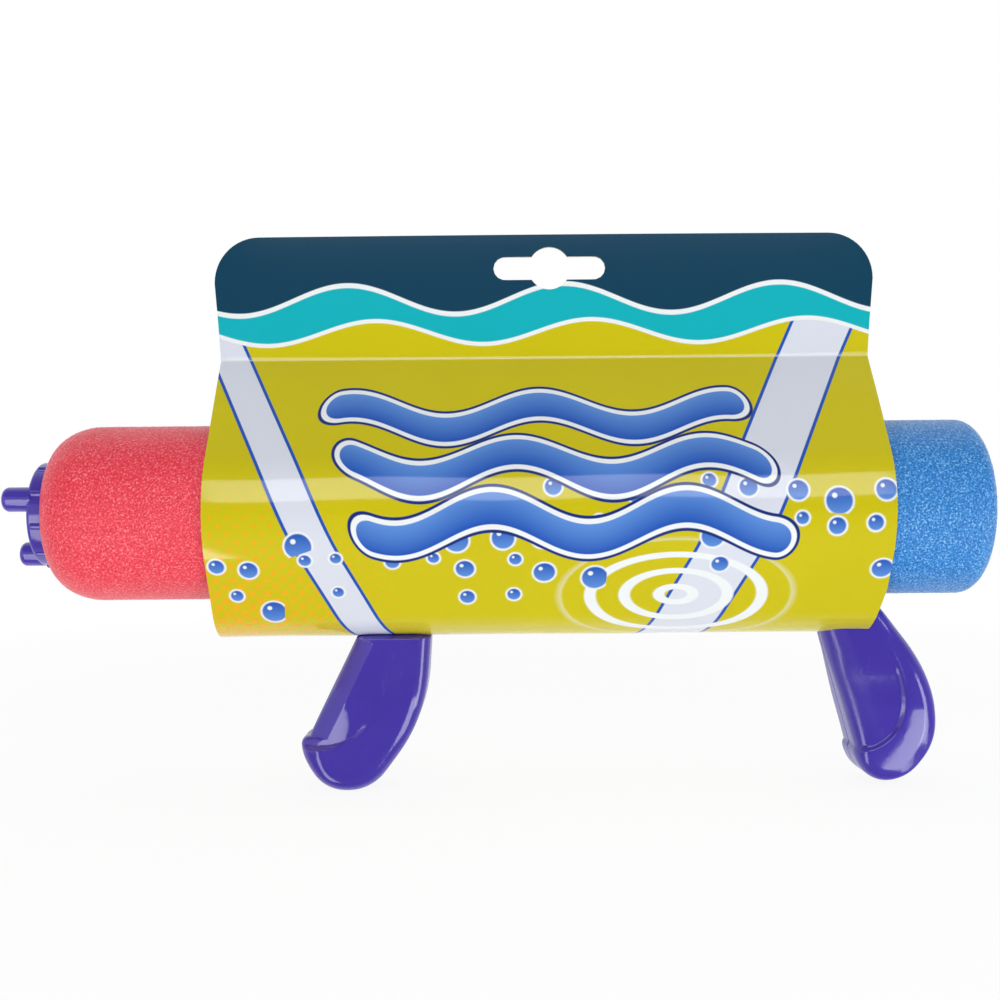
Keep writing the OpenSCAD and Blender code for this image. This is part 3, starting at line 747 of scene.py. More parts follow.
# %% Handle measures
# Places are x from the neck's middle and z, in mm. Below lip_top the pommel's lip stands out. Edge and
# crest are the rounded edge's width and its turn in degrees, at the fingers and at the back. The panel
# is its middle, its width and its reach up and down. It falls by the sink and, in front of the lip, by
# the facet's slope, over a border that is soft at the top and tight at the lip. The shoulder is its
# top, its foot and the half thickness below it. Dome and grip are shares, of the dome round the panel
# and of the grain at the fingers.
FRONT = dict(
    neck_x=FRONT_NECK_X, screws=[(-7.4, -53.4), (-14.6, -66.3)],
    spine=[(2.6, -20), (-3.0, -36), (-8.5, -52), (-14.6, -66.3)],
    corners=[(-3.4, -15), (8.6, -15), (8.6, -25), (6.3, -58.2), (-9.1, -78.9), (-27.5, -78.9),
             (-27.5, -64.7)],
    rounds=[0.5, 0.5, 30, 44, 12.8, 11, 8],
    lip=2.0, lip_top=-63.4, edge=(5.6, 3.7), crest=(68, 55), dome=0.0,
    panel=(-24.4, -35.0, 24.9, 32.0, 32.0), sink=0.4, border=(5.0, 1.1), facet=0.175,
    grip=0.0, shoulder=(-34.9, -36.1, 7.5))
REAR = dict(
    neck_x=REAR_NECK_X, screws=[(12.8, -53.7), (13.9, -65.0)],
    spine=[(-2.6, -20), (5.4, -36), (12.0, -51), (15.4, -65.5)],
    corners=[(-8.4, -15), (2.0, -15), (26.5, -47.8), (26.5, -66.9), (17.7, -77.4), (6.4, -77.4),
             (-8.2, -23.4)],
    rounds=[0.5, 0.5, 39, 16.5, 11.8, 7.5, 20],
    lip=1.0, lip_top=-67.9, edge=(5.6, 4.2), crest=(89, 86), dome=1.0,
    panel=(3.5, -54.0, 14.2, 21.0, 15.0), sink=0.9, border=(2.4, 1.4), facet=0.0,
    grip=1.0, shoulder=(-25.6, -31.0, 6.2))
print("front handle", max(-z for _, z in FRONT["corners"]), "mm below the axis")

# %% [markdown]
# ## Rays across a handle
#
# A handle bends, so its face can't be a plain grid. Rays run from a spine inside it to the outline,
# square to the spine along both sides and fanned out at both ends. Points along these rays then
# cover the whole face without a gap or a fold.

# %% Handle rays
SPINE_POINTS, SPINE_SOFT = 400, 101
SIDE_RAYS, END_RAYS, TOP_RAYS = 190, 110, 30


def soften(line, wide, mode):
    """The running mean of an odd number of points. A closed line wraps, an open one holds its ends."""
    padded = np.pad(line, ((wide // 2, wide // 2), (0, 0)), mode=mode)
    means = [np.convolve(column, np.ones(wide) / wide, "valid") for column in padded.T]
    return np.stack(means, axis=-1)


def handle_rays(shape):
    """Where the rays start and which way they go: down the back side, round the pommel, up the finger
    side and round the neck's top. In a fan the way turns from one side to the other: cos t times the
    side plus sin t times the spine's own way."""
    line = walk(np.array(shape["spine"], dtype=float), SPINE_POINTS, closed=False)
    spine = walk(soften(line, SPINE_SOFT, "edge"), SIDE_RAYS, closed=False)
    along = np.gradient(spine, axis=0)
    along = along / np.linalg.norm(along, axis=1, keepdims=True)
    back = np.stack([-along[:, 1], along[:, 0]], axis=-1)
    end_turn = np.linspace(0, np.pi, END_RAYS + 2)[1:-1, None]
    top_turn = np.linspace(0, np.pi, TOP_RAYS + 2)[1:-1, None]
    end_ways = np.cos(end_turn) * back[-1] + np.sin(end_turn) * along[-1]
    top_ways = -np.cos(top_turn) * back[0] - np.sin(top_turn) * along[0]
    starts = np.vstack([spine, 0 * end_ways + spine[-1], spine[::-1], 0 * top_ways + spine[0]])
    return starts, np.vstack([back, end_ways, -back[::-1], top_ways])


def cross(a, b):
    """The cross product of flat vectors: ax bz - az bx."""
    return a[..., 0] * b[..., 1] - a[..., 1] * b[..., 0]


def reach_to(outline, starts, ways):
    """How far each ray runs to the outline. A ray meets a side where start + t way = corner + s side:
    t and s are quotients of cross products, and s has to lie between 0 and 1."""
    side = np.roll(outline, -1, 0) - outline
    gap = outline[None] - starts[:, None]
    slant = cross(ways[:, None], side[None])
    slant = np.where(np.abs(slant) < TINY, TINY, slant)
    t, s = cross(gap, side[None]) / slant, cross(gap, ways[:, None]) / slant
    return np.where((s >= 0) & (s <= 1) & (t > 0), t, 0).max(axis=1)


print("handle rays", len(handle_rays(FRONT)[0]))

# %% [markdown]
# ## A handle's face
#
# The face sinks into a shallow oval panel for the fingers, which runs out at the finger side and
# ends at the pommel in a lip. Moulders round such edges, so every step here is a smooth S. The
# rounded edge between face and side wall is wide at the fingers and turns less where it stays crisp.

# %% Face of a handle
NECK_HALF, GRIP_HALF = 4.5, 10.0
SWELL_Z, BELLY_Z = -34.0, -57.0
PANEL_FADE, BORDER_FADE, OFF_CENTRE = (-37, -48), (-55, -64), 1e-6
FACET_X, FACET_Z, FACET_BEND, FACET_SOFT = -14.2, -59.5, 20, 1.0
DOME_SLOPE, DOME_BEND, DOME_FADE = 0.07, 70, (-38, -50)
LIP_RISE, LIP_FALL = 2.2, 11
BOTTOM_EDGE, BOTTOM_CREST, BOTTOM_FADE, EDGE_SHARE = 4.2, 88, (-62, -76), 0.8


def half_thickness(shape, z):
    """Thin at the neck, thicker below the shoulder, then a slow swell to the belly."""
    top, foot, shoulder_half = shape["shoulder"]
    step, belly = ease(top, foot, z), ease(SWELL_Z, BELLY_Z, z)
    return NECK_HALF + (shoulder_half - NECK_HALF) * step + (GRIP_HALF - shoulder_half) * belly


def face_depth(shape, x, z):
    """How far the face lies below its full height. The panel is an oval about a point at the finger
    side: inside it, the face drops by the sink over a border that is soft at the top and tight at the
    lip. In front of the lip a facet falls off to the fingers. Outside the oval, a dome falls off."""
    centre_x, centre_z, wide, up, down = shape["panel"]
    tall = np.where(z > centre_z, up, down)
    across, along = (x - centre_x) / wide, (z - centre_z) / tall
    share = np.sqrt(across ** 2 + along ** 2) + OFF_CENTRE
    inside = (1 - share) * share / np.sqrt((across / wide) ** 2 + (along / tall) ** 2 + TINY)
    soft, tight = shape["border"]
    step = ease(0, soft + (tight - soft) * ease(*BORDER_FADE, z), inside)
    run = np.maximum(FACET_X - (z - FACET_Z) ** 2 / FACET_BEND - x, 0)
    sunk = shape["sink"] + shape["facet"] * run * run / (run + FACET_SOFT)
    past = np.maximum(-inside, 0)
    dome = shape["dome"] * (DOME_SLOPE * past + past ** 2 / DOME_BEND)
    return step * sunk * ease(*PANEL_FADE, z) + dome * ease(*DOME_FADE, z)


def lip_length(shape, rim_z):
    """How far the pommel's lip stands out: below its notch a quarter circle's rise, which fades on the
    way down."""
    below = np.clip(shape["lip_top"] - rim_z, 0, None)
    rise = np.sqrt(1 - (1 - np.clip(below / LIP_RISE, 0, 1)) ** 2)
    return shape["lip"] * rise * ease(LIP_FALL, 0, below)


def edge_shape(shape, rim_z, fingers):
    """The rounded edge's width in mm and its turn in radians: from the back's to the fingers', and to
    the bottom's at the pommel."""
    bottom = ease(*BOTTOM_FADE, rim_z)
    (finger_edge, back_edge), (finger_crest, back_crest) = shape["edge"], shape["crest"]
    edge = back_edge + (finger_edge - back_edge) * fingers
    edge = edge + (BOTTOM_EDGE - edge) * bottom
    crest = back_crest + (finger_crest - back_crest) * fingers
    crest = crest + (BOTTOM_CREST - crest) * bottom
    return np.minimum(edge, EDGE_SHARE * half_thickness(shape, rim_z)), np.radians(crest)


print("belly", 2 * half_thickness(FRONT, BELLY_Z), "mm thick")

# %% [markdown]
# ## Drawing in a half
#
# Each half is the outline drawn in along the rays: up the side wall, over the rounded edge, and
# across the face to the spine, where both sides meet. The other half is its mirror image. A collar,
# hidden in the foam, holds the handle on the tube.

# %% Half of a handle
SEAM, PART_BEVEL, WALL_SHARES = 0.01, 0.25, (0, 0.35, 0.7)
OUTLINE_POINTS, OUTLINE_SOFT = 640, 13
EDGE_STEPS, FACE_STEPS = 18, 40
FINGER_FADE, GRIP_FADE = (0.1, -0.4), (-70, -56)
EDGE_GRAIN, FACE_GRAIN = (0.7, 0.3), (0.55, 0.1)
INNER_ROUND, OUTER_ROUND = 0.2, 0.6
HANDLE_SHARP = 38


def half_grid(shape):
    """Rows of x, y and z from the spine on the parting face, round the rim, to the spine on the outer
    face, and the grain of each point. A row is the rim drawn in along the rays, and y is its height
    off the parting. The edge is a quarter of an oval, or less where its crest stays crisp: drawn in by
    1 - cos t and raised by sin t, both scaled to the edge's width. The grain covers the side wall, and
    on a grip it runs over the fingers' edge."""
    starts, ways = handle_rays(shape)
    outline = walk(rounded(shape["corners"], shape["rounds"], steps=ARC_STEPS), OUTLINE_POINTS)
    outline = soften(soften(outline, OUTLINE_SOFT, "wrap"), OUTLINE_SOFT, "wrap")
    reach = reach_to(outline, starts, ways)
    rim_z = starts[:, 1] + ways[:, 1] * reach
    fingers = ease(*FINGER_FADE, ways[:, 0])
    reach = reach + lip_length(shape, rim_z) * fingers
    edge, crest = edge_shape(shape, rim_z, fingers)
    rim = starts + ways * reach[:, None]
    full = np.ones(len(edge))
    base, foot = SEAM / 2 * full, SEAM / 2 + PART_BEVEL
    wall = half_thickness(shape, rim_z) - edge - foot
    hold = shape["grip"] * fingers * ease(*GRIP_FADE, rim_z)
    rows = [(starts, base, full), (rim - ways * PART_BEVEL, base, full)]
    rows += [(rim, foot + wall * share, full) for share in WALL_SHARES]
    for share in np.linspace(0, 1, EDGE_STEPS):
        turn = share * crest
        plan = rim - ways * (edge * (1 - np.cos(turn)) / (1 - np.cos(crest)))[:, None]
        lift = np.sin(turn) / np.sin(crest)
        drop = edge * (1 - lift) + face_depth(shape, *plan.T) * lift ** 2
        grain = np.maximum(hold, ease(*EDGE_GRAIN, share))
        rows.append((plan, half_thickness(shape, plan[:, 1]) - drop, grain))
    face_rim = rows[-1][0]
    for share in np.linspace(0, 1, FACE_STEPS)[1:]:
        plan = face_rim + (starts - face_rim) * share
        height = half_thickness(shape, plan[:, 1]) - face_depth(shape, *plan.T)
        rows.append((plan, height, hold * ease(*FACE_GRAIN, share)))
    plan, height, grain = (np.stack(column) for column in zip(*rows))
    return np.stack([plan[..., 0] + shape["neck_x"], height, plan[..., 1]], axis=-1), grain


def handle_half(name, shape, side):
    """The half on that side of the parting, -1 near and 1 far: the grid's y times the side."""
    grid, grain = half_grid(shape)
    half = shell(grid * (1, side, 1), ring_columns=True)
    return piece(name, [half], violet, sharp=HANDLE_SHARP, grain=grain)


def collar(neck_x):
    """The ring round the tube that carries the handle, inside the foam."""
    front, back = neck_x - COLLAR_L / 2, neck_x + COLLAR_L / 2
    corners = [(front, FOAM_BORE_R), (front, COLLAR_R), (back, COLLAR_R), (back, FOAM_BORE_R)]
    ring = rounded(corners, [INNER_ROUND, OUTER_ROUND, OUTER_ROUND, INNER_ROUND], steps=5)
    return lathe(ring, COLLAR_STEPS)


half_rows, half_rays = half_grid(FRONT)[0].shape[:2]
print("half of a handle has", half_rows, "rows of", half_rays, "points")

# %% [markdown]
# ## The four halves
#
# The near half of each handle is plain, and with it comes the collar round the tube, inside the foam.
# The far half takes two screws, so wells for their heads are carved into it. The screws themselves
# are the CAD's own.

# %% Handle halves
SCREW_HEAD_R, SCREW_SEAT = 2.9, 4.0
WELL_PAST, WELL_STEPS = 3, 48


def screw_wells(shape):
    """Round cutters from the seat of each screw's head out through the far face."""
    turn = np.linspace(0, 2 * np.pi, WELL_STEPS, endpoint=False)
    ring = SCREW_HEAD_R * np.stack([np.cos(turn), np.sin(turn)], axis=-1)
    outlines = [ring + (shape["neck_x"] + x, z) for x, z in shape["screws"]]
    end = GRIP_HALF + WELL_PAST
    return [prism("well_cutter", outline, SCREW_SEAT, end, axis=1) for outline in outlines]


for side_name, shape, body in [("front", FRONT, "barrel_half"), ("rear", REAR, "plunger_half")]:
    near = handle_half(f"{side_name}_handle_near", shape, -1)
    far = handle_half(f"{side_name}_handle_far", shape, 1)
    carve(far, screw_wells(shape), sharp=HANDLE_SHARP)
    ring = piece(f"{side_name}_handle_collar", [collar(shape["neck_x"])], violet)
    near_node, far_node = f"{side_name}_handle_body", f"{side_name}_handle_cover"
    for made, node in [(near, near_node), (far, far_node), (ring, near_node)]:
        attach(made, body)
        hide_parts(node)
    print(side_name, "handle", len(near.data.polygons), "+", len(far.data.polygons), "faces")

# %% [markdown]
# ## The card's shape
#
# One strip of board is wrapped round the foam and its two ends are glued together as a header. Its
# end view is one line: down the header, over the fold, along a tangent to the foam, round it, and
# into a narrower keel at the bottom. That line is again a band round circles. Carrying it along X
# makes the sheet, and the two edges of each row may move, which gives the header its rounded corners
# and flare. A slow sway keeps the board from looking ruled.

# %% Card shape
CARD_X, CARD_L, CARD_T = 51.3, 186.0, 0.5
CARD_MID = CARD_X + CARD_L / 2
HEADER_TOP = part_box("display_card")[1].z / MM
HEADER_H, HEADER_R, HEADER_FLARE = 35.3, 13.0, 1.6
FOLD_Z = HEADER_TOP - HEADER_H
FOLD_R, FOLD_LIFT, FOLD_MEAN, FOLD_FADE = 0.5, 0.7, 1.8, (6, 3)
LOOP_ROOM, KEEL_ROUND, KEEL_Z, LAYER_ROOM = 0.8, 15.0, -20.2, 0.02
LOOP_R = FOAM_R + LOOP_ROOM + CARD_T / 2
KEEL_R = KEEL_ROUND + CARD_T / 2
LAYER_Y = CARD_T / 2 + LAYER_ROOM
LOOP_TURN = np.linspace(math.radians(140), math.radians(270), 500)
CORNER_TRIM, CORNER_TOP, CORNER_END = 2.6, -22.2, -36.2
HEADER_LEAN = math.tan(math.radians(2.5))
HEADER_BOW, HEADER_BACK, HEADER_FADE = 0.9, 0.3, (38, 24)
SWAY, SWAY_ALONG, SWAY_DOWN, SWAY_START, SWAY_FADE = 0.2, 11.3, 13.4, 0.7, (36, 48)
END_FLARE, END_FADE = 0.2, (0.8, 1.0)
FOLD_FROM, FOLD_TO = 33, 38
LINE_POINTS, CARD_COLUMNS = 1200, 118
CORNER_ROWS, HEADER_ROWS, FOLD_ROWS, LOOP_ROWS = 14, 14, 18, 76
UV_UNIT, PRINT_START, BACK_SHIFT = 100.0, 1.0, 10.0


def card_line():
    """Half of the end view: y and z from the header's top edge down the near side to the keel. The
    corner at the fold is rounded by a short running mean."""
    header = [(-LAYER_Y, HEADER_TOP), (-LAYER_Y, FOLD_Z + FOLD_LIFT)]
    circles = [(0, 0, LOOP_R), (0, KEEL_Z, KEEL_R), (0, FOLD_Z - FOLD_R, FOLD_R)]
    line = walk(np.vstack([header, band(circles, LOOP_TURN)]), LINE_POINTS, closed=False)
    step = np.linalg.norm(line[1] - line[0])
    mean = soften(line, int(FOLD_MEAN / step) | 1, "edge")
    down = step * np.arange(len(line))
    near_fold = ease(*FOLD_FADE, np.abs(down - HEADER_H))[:, None]
    return down, line + (mean - line) * near_fold


def card_rows():
    """Rows of the sheet from the near header's edge round to the far header's edge: distance down
    from the header's top, y and z. Rows crowd at the rounded corners and at the fold."""
    down, line = card_line()
    corner = HEADER_R * (1 - np.cos(np.linspace(0, np.pi / 2, CORNER_ROWS)))
    header = np.linspace(HEADER_R, FOLD_FROM, HEADER_ROWS)[1:]
    fold = np.linspace(FOLD_FROM, FOLD_TO, FOLD_ROWS)[1:]
    loop = np.linspace(FOLD_TO, down[-1], LOOP_ROWS)[1:]
    rows = np.concatenate([corner, header, fold, loop])
    half = np.stack([rows, np.interp(rows, down, line[:, 0]), np.interp(rows, down, line[:, 1])], axis=-1)
    return np.vstack([half, (half * (1, -1, 1))[-2::-1]])


def card_sheet():
    """Both faces of the sheet and the four strips that join them. x runs between the row's own
    edges, and the sway moves points along the outward normal. The texture place is the distance along
    and down the flat sheet, and on the inner face it is shifted off the print."""
    down, y, z = (column[:, None] for column in card_rows().T)
    path = np.hstack([y, z])
    along = np.gradient(path, axis=0)
    along = along / np.linalg.norm(along, axis=1, keepdims=True)
    out_y, out_z = along[:, 1:], -along[:, :1]
    corner = np.sqrt(np.maximum(HEADER_R ** 2 - (HEADER_R - down) ** 2, 0))
    inset = np.where(down < HEADER_R, HEADER_R - corner, 0)
    flare = HEADER_FLARE * np.clip((HEADER_H - down) / (HEADER_H - HEADER_R), 0, 1)
    trim = CORNER_TRIM * np.clip((CORNER_TOP - z) / (CORNER_TOP - CORNER_END), 0, 1)
    share = np.linspace(0, 1, CARD_COLUMNS)[None, :]
    run = (inset - flare) + (CARD_L - trim + 2 * flare - 2 * inset) * share
    off_middle = (run - CARD_L / 2) / (CARD_L / 2)
    header = ease(*HEADER_FADE, down)
    lean = header * (HEADER_BOW * off_middle ** 2 - HEADER_BACK)
    lean = lean - HEADER_LEAN * np.maximum(HEADER_H - down, 0)
    sway = SWAY * np.sin(run / SWAY_ALONG + SWAY_START) * np.sin(down / SWAY_DOWN)
    sway = sway + END_FLARE * ease(*END_FADE, np.abs(off_middle))
    sway = sway * (1 - header) * ease(*SWAY_FADE, down)
    outer, inner = (np.stack([CARD_X + run, y + out_y * off + lean, z + out_z * off + 0 * run], axis=-1)
                    for off in (sway + CARD_T / 2, sway - CARD_T / 2))
    uv = np.stack([run / UV_UNIT, PRINT_START + down / UV_UNIT + 0 * run], axis=-1)
    edges = [(outer[:, 0], inner[:, 0]), (outer[:, -1], inner[:, -1]), (outer[0], inner[0]),
             (outer[-1], inner[-1])]
    strips = [shell(np.stack(pair)) for pair in edges]
    return [shell(outer, uv=uv), shell(inner, uv=uv + (0, BACK_SHIFT)), *strips]


print("card line", round(card_line()[0][-1], 1), "mm from the header's edge to the keel")

# %% [markdown]
# ## The card's print
#
# The print is drawn in the sheet's own flat measures: millimetres along the pump, and millimetres
# down from the header's edge. Every motif is a list of masks, which are distances to its edges, and
# their inks, laid over what is below as a press does. The motifs are a wavy header, two pale ribbons,
# three water waves, a drift of bubbles and ripples, on a yellow ground with halftone dots.

# %% Card print
YELLOW, YELLOW_2 = srgb(208, 196, 16), srgb(200, 187, 12)
NAVY, TURQUOISE = srgb(12, 62, 88), srgb(12, 176, 188)
PALE, WHITE = srgb(216, 221, 233), srgb(236, 240, 242)
BLUE, SKY, DEEP = srgb(26, 82, 180), srgb(92, 142, 216), srgb(20, 46, 122)
AMBER = srgb(238, 172, 24)
DOT_STEP, DOT_SIZE, DOT_SOFT, DOT_INK = 4.6, 0.46, 0.06, 0.75
DOT_CORNER, DOT_FADE = (8.0, 122.0), 120.0
RIBBONS, RIBBON_DOWN, RIBBON_LINE = [(158.0, -0.44, 8.5), (14.0, 0.44, 5.0)], 60.0, 1.0
RIPPLE_MIDDLE, RIPPLE_SQUASH, RIPPLE_STEP, RIPPLE_REACH = (128.0, 112.0), 0.55, 5.2, 17.0
RIPPLE_HALF, RIPPLE_SOFT, RIPPLE_FADE = 0.17, 0.06, 3.0
BUBBLE_CELL, BUBBLE_JITTER, BUBBLE_LEAST, BUBBLE_MORE = 11.0, 0.7, 0.13, 0.20
BUBBLE_RIM, BUBBLE_SOFT = 0.05, 0.04
LIGHT_ACROSS, LIGHT_UP, LIGHT_SIZE, LIGHT_SOFT = 0.35, 0.4, 0.2, 0.03
DRIFT_DOWN, DRIFT_SLOPE, DRIFT_HALF, DRIFT_SPREAD, DRIFT_SOFT = 106.0, 0.12, 5.0, 16.0, 0.1
WAVE_ROWS = [(57.0, 0.0), (73.5, 0.8), (90.0, 1.6)]
WAVE_L, WAVE_H, WAVE_HALF, WAVE_RIM, WAVE_OUTLINE = 52.0, 4.4, 4.3, 1.4, 2.3
WAVE_MIDDLE, WAVE_SHIFT, WAVE_REACH = 90.0, 6.0, 54.0
BAND_L, CREST_DOWN, CREST_H, CREST_START, CREST_LINE = 62.0, 17.5, 4.2, 1.0, 1.4
TROUGH_DOWN, TROUGH_H, TROUGH_START, TROUGH_LINE = 27.0, 3.4, 0.2, 1.2


def length_of(across, down):
    """The root of the sum of both squares."""
    return (across * across + down * down) ** 0.5


def sine(along, length, start, height):
    """A wave of that length along the card."""
    return (along * (2 * math.pi / length) + start).sin() * height


def yellow_ground(paint, along, down):
    """Yellow, with halftone dots that shrink away from the lower front corner."""
    ground = paint.mix(paint.noise(paint.place(), scale=25.0, detail=2.0), YELLOW, YELLOW_2)
    first, second = ((line / DOT_STEP).fract() - 0.5 for line in (along + down, along - down))
    size = DOT_SIZE - length_of(along - DOT_CORNER[0], down - DOT_CORNER[1]) / DOT_FADE
    dots = (length_of(first, second) - size).within(DOT_SOFT)
    return paint.mix(dots * DOT_INK, ground, AMBER)


def ribbon_inks(along, down):
    """Two slanting pale ribbons, each with a thin blue line beside it."""
    inks = []
    for start, slope, half in RIBBONS:
        off = abs(along - start - (down - RIBBON_DOWN) * slope) - half
        inks += [((off - RIBBON_LINE).within(), BLUE), (off.within(), PALE)]
    return inks


def ripple_inks(along, down):
    """Pale rings about one point, stretched along the card, fading out with their radius."""
    reach = length_of((along - RIPPLE_MIDDLE[0]) * RIPPLE_SQUASH, down - RIPPLE_MIDDLE[1])
    rings = (abs((reach / RIPPLE_STEP).fract() - 0.5) - RIPPLE_HALF).within(RIPPLE_SOFT)
    return [(rings * (reach - RIPPLE_REACH).within(RIPPLE_FADE), WHITE)]


def bubble_inks(along, down):
    """Bubbles at the points of a jittered lattice, kept where they lie near a slanting drift. Each
    has a blue body that pales downwards, a white rim and a small light. Sizes are shares of a cell."""
    paint = along.paint
    column, row = along / BUBBLE_CELL, down / BUBBLE_CELL
    flat = paint.node("ShaderNodeCombineXYZ", {}, [column, row, 0.0])
    lattice = paint.node("ShaderNodeTexVoronoi", {"voronoi_dimensions": "2D"},
                         {"Vector": flat, "Scale": 1.0, "Randomness": BUBBLE_JITTER})
    spot = paint.node("ShaderNodeSeparateXYZ", {}, [lattice.output("Position")])
    dice = paint.node("ShaderNodeSeparateColor", {}, [lattice.output("Color")])
    off_drift = abs(spot.output("Y") * BUBBLE_CELL - DRIFT_DOWN + spot * BUBBLE_CELL * DRIFT_SLOPE)
    kept = (off_drift - DRIFT_HALF - dice * DRIFT_SPREAD).within(DRIFT_SOFT)
    size = BUBBLE_LEAST + dice.output("Green") * BUBBLE_MORE
    across, below = column - spot, row - spot.output("Y")
    rim = (lattice - size - BUBBLE_RIM).within(BUBBLE_SOFT)
    body = (lattice - size).within(BUBBLE_SOFT)
    shade = (0.5 + below / size * 0.5).clamped()
    off_light = length_of(across + size * LIGHT_ACROSS, below + size * LIGHT_UP)
    light = (off_light - size * LIGHT_SIZE).within(LIGHT_SOFT)
    return [(rim * kept, WHITE), (body * kept, paint.mix(shade, BLUE, SKY)), (light * kept, WHITE)]


def wave_inks(along, down):
    """Three stripes that follow sines, with round ends and two outlines."""
    inks = []
    for level, phase in WAVE_ROWS:
        off = down - level - sine(along, WAVE_L, phase, WAVE_H)
        past_end = (abs(along - WAVE_MIDDLE - phase * WAVE_SHIFT) - WAVE_REACH).most(0.0)
        reach = length_of(past_end, off) - WAVE_HALF
        shade = (off / (2 * WAVE_HALF) + 0.5).clamped()
        inks += [((reach - WAVE_OUTLINE).within(), DEEP), ((reach - WAVE_RIM).within(), WHITE),
                 (reach.within(), along.paint.mix(shade, SKY, BLUE))]
    return inks


def header_inks(along, down):
    """Navy at the top, then a white crest, a turquoise band and another white line, on two sines."""
    crest = down - CREST_DOWN - sine(along, BAND_L, CREST_START, CREST_H)
    trough = down - TROUGH_DOWN - sine(along, BAND_L, TROUGH_START, TROUGH_H)
    return [((trough - TROUGH_LINE).within(), WHITE), (trough.within(), TURQUOISE),
            ((crest - CREST_LINE).within(), WHITE), (crest.within(), NAVY)]


print("print", len(RIBBONS), "ribbons and", len(WAVE_ROWS), "waves")

# %% [markdown]
# ## The card's finish
#
# The inks are laid one over another. The board rubs pale along its fold, it is bare inside and at its
# cut edges, and a varnish over the print makes it shine.

# %% Card finish
PRINT_FROM, PRINT_TO, PRINT_SOFT = 0.5, 5.0, 0.1
WORN_HALF, WORN_SOFT, WORN_LEAST, WORN_SHARE = 0.25, 0.3, 0.25, 0.5
BOARD, BOARD_DARK, BOARD_PALE = srgb(226, 224, 214), srgb(214, 211, 198), srgb(234, 232, 224)


def card_finish():
    """All inks, a worn line along the fold, bare board inside and at the cut edges, and varnish."""
    material, paint = new_finish("printed_card")
    flat = paint.node("ShaderNodeSeparateXYZ", {}, [paint.node("ShaderNodeTexCoord", output="UV")])
    sheet = flat.output("Y")
    along, down = flat * UV_UNIT, (sheet - PRINT_START) * UV_UNIT
    inks = yellow_ground(paint, along, down)
    for motif in (ribbon_inks, ripple_inks, bubble_inks, wave_inks, header_inks):
        for mask, ink in motif(along, down):
            inks = paint.mix(mask, inks, ink)
    place = paint.place()
    fibre = paint.noise(paint.stretched(place, 1.0, 0.35, 0.35), scale=2600.0, detail=3.0)
    rubs = paint.noise(place, scale=300.0, detail=3.0)
    worn = (abs(down - HEADER_H) - WORN_HALF).within(WORN_SOFT) * (WORN_LEAST + rubs)
    inks = paint.mix(worn * WORN_SHARE, inks, BOARD)
    printed = (PRINT_FROM - sheet).within(PRINT_SOFT) * (sheet - PRINT_TO).within(PRINT_SOFT)
    colour = paint.mix(printed, paint.mix(fibre, BOARD_DARK, BOARD_PALE), inks)
    paint.surface(Base_Color=colour, Roughness=0.75 - printed * rubs * 0.2, Specular_IOR_Level=0.05,
                  Coat_Weight=printed, Coat_IOR=1.65, Coat_Roughness=0.1,
                  Normal=paint.bump(fibre, 0.012 * MM))
    return material


printed_card = card_finish()
print("card finish", len(printed_card.node_tree.nodes), "nodes")

# %% [markdown]
# ## Cutting the card
#
# A die cuts the hang slot through both layers of the header, a hole for the front handle and an
# open notch for the rear one. The same cuts are made here with straight cutters.

# %% Card
SLOT_X, SLOT_Z = CARD_MID + 1.6, HEADER_TOP - 9.6
SLOT_W, SLOT_H, SLOT_D, SLOT_REACH = 32.0, 6.5, 12.0, 4
FRONT_CUT = (88.6, 111.4, 9.8)
REAR_CUT = (221.8, 250.7, 13.4)
CUT_LOW, CUT_HIGH = -42, -FOAM_R - 1
CARD_SHARP = 40


def card_cutters():
    """The slot and its round middle, run through the header, and both handles' cuts in the keel."""
    slot = stadium(SLOT_W, SLOT_H) + (SLOT_X, SLOT_Z)
    middle_hole = stadium(SLOT_D + HAIR, SLOT_D) + (SLOT_X, SLOT_Z)
    cutters = [prism("slot_cutter", outline, -SLOT_REACH, SLOT_REACH, axis=1)
               for outline in (slot, middle_hole)]
    for start, end, wide in (FRONT_CUT, REAR_CUT):
        cut = stadium(end - start, wide) + ((start + end) / 2, 0)
        cutters.append(prism("keel_cutter", cut, CUT_LOW, CUT_HIGH, axis=2))
    return cutters


card = piece("card", card_sheet(), printed_card, sharp=CARD_SHARP)
carve(card, card_cutters(), sharp=CARD_SHARP)
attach(card, "barrel_half")
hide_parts("display_card")
print("card", len(card.data.polygons), "faces")

# %% [markdown]
# ## Finishes for the works
#
# What is left are the CAD's own solids: tube, rod, piston, bushes, seals, pins and screws. Most show
# only when the pump is drawn out. They keep their meshes and get finishes of their own: a satin tube
# with drawing marks along it, a moulded rod, black rubber, and brushed steel.

# %% Finishes for the works
def tube_finish():
    """Pale plastic with marks drawn out along X, in its colour, gloss and relief."""
    material, paint = new_finish("tube_plastic")
    place = paint.place()
    drawn = paint.noise(paint.stretched(place, 0.03, 1.0, 1.0), scale=900.0, detail=3.0)
    clouds = paint.noise(place, scale=40.0, detail=2.0)
    colour = paint.mix(clouds * 0.5 + drawn * 0.5, srgb(212, 219, 226), srgb(228, 233, 238))
    paint.surface(Base_Color=colour, Roughness=0.28 + drawn * 0.16, Normal=paint.bump(drawn, 0.01 * MM))
    return material


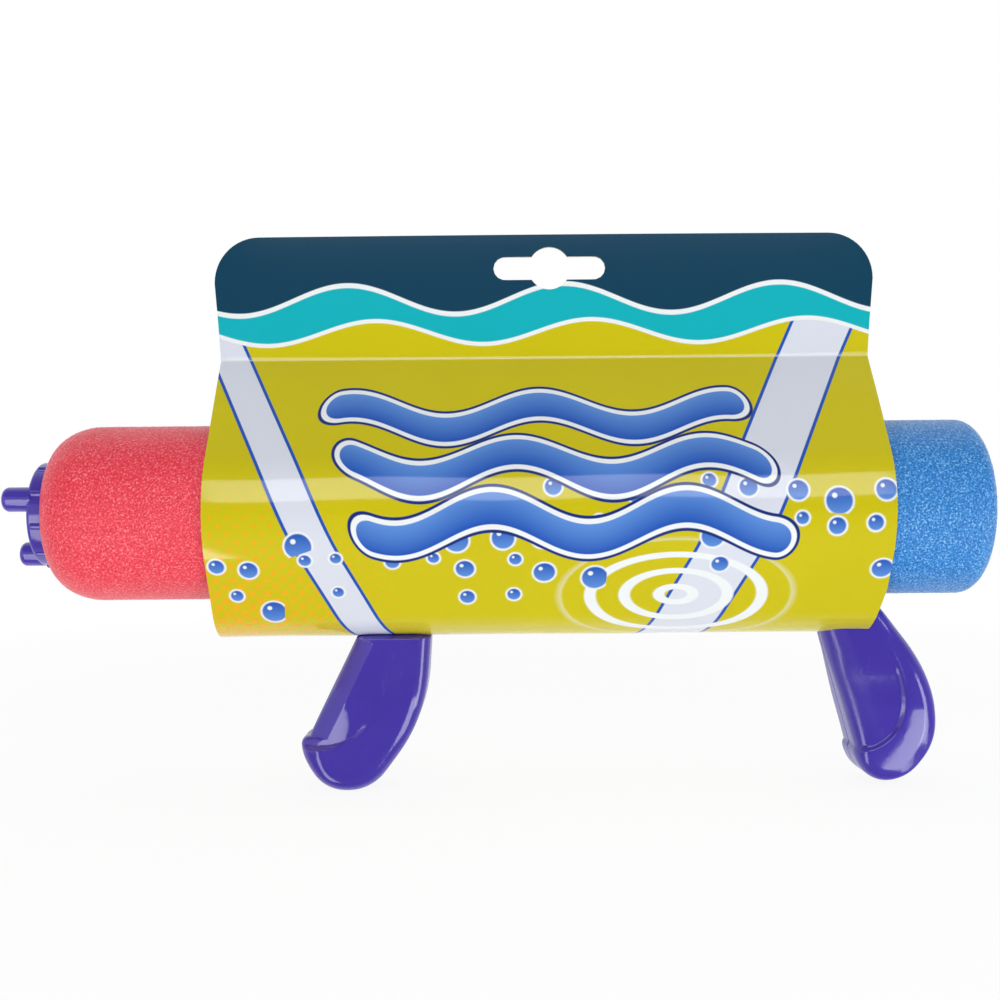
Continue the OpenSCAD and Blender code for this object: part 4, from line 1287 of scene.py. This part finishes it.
def works_finish():
    """Ivory plastic, greyed where its rubs along X are strongest."""
    material, paint = new_finish("works_plastic")
    place = paint.place()
    rubs = paint.noise(paint.stretched(place, 0.06, 1.0, 1.0), scale=1200.0, detail=4.0)
    clouds = paint.noise(place, scale=70.0, detail=3.0)
    colour = paint.mix(clouds, srgb(228, 228, 222), srgb(240, 240, 236))
    worn = ((rubs - 0.6) * 4.0).clamped()
    colour = paint.mix(worn * 0.25, colour, srgb(186, 188, 186))
    paint.surface(Base_Color=colour, Roughness=0.3 + rubs * 0.2, Normal=paint.bump(rubs, 0.008 * MM))
    return material


def rubber_finish():
    """Near black, with fine dust in its colour, gloss and relief."""
    material, paint = new_finish("seal_rubber")
    dust = paint.noise(paint.place(), scale=1500.0, detail=4.0)
    colour = paint.mix(dust, srgb(18, 18, 19), srgb(34, 34, 36))
    paint.surface(Base_Color=colour, Roughness=0.5 + dust * 0.3, Normal=paint.bump(dust, 0.02 * MM))
    return material


def steel_finish():
    """Metal with fine lines along Y, in its colour, gloss and relief."""
    material, paint = new_finish("screw_steel")
    place = paint.place()
    brushed = paint.noise(paint.stretched(place, 1.0, 0.08, 1.0), scale=4000.0, detail=3.0)
    colour = paint.mix(brushed, srgb(168, 170, 174), srgb(206, 208, 212))
    paint.surface(Base_Color=colour, Metallic=1.0, Roughness=0.24 + brushed * 0.2,
                  Normal=paint.bump(brushed, 0.004 * MM))
    return material


finishes = {
    "violet_plastic": violet, "red_foam": red_foam, "blue_foam": blue_foam,
    "printed_card": printed_card, "tube_plastic": tube_finish(), "works_plastic": works_finish(),
    "seal_rubber": rubber_finish(), "screw_steel": steel_finish(),
}
for subpart in frame["record"]["subparts"]:
    for material_slot in nodes[subpart["node"]].material_slots:
        material_slot.material = finishes[subpart["material_slot"]]
print("finishes", sorted(finishes))

# %% [markdown]
# ## Size
#
# Both boxes, the CAD's and the dressed model's, are printed side by side. The dressed model may
# not grow past the CAD's box.

# %% Size
look_low, look_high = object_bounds()
boxes = {"cad": [list(cad_low), list(cad_high)], "visual": [list(look_low), list(look_high)]}
for name, (low, high) in boxes.items():
    print(name, "box in mm", [round((b - a) / MM, 1) for a, b in zip(low, high)])
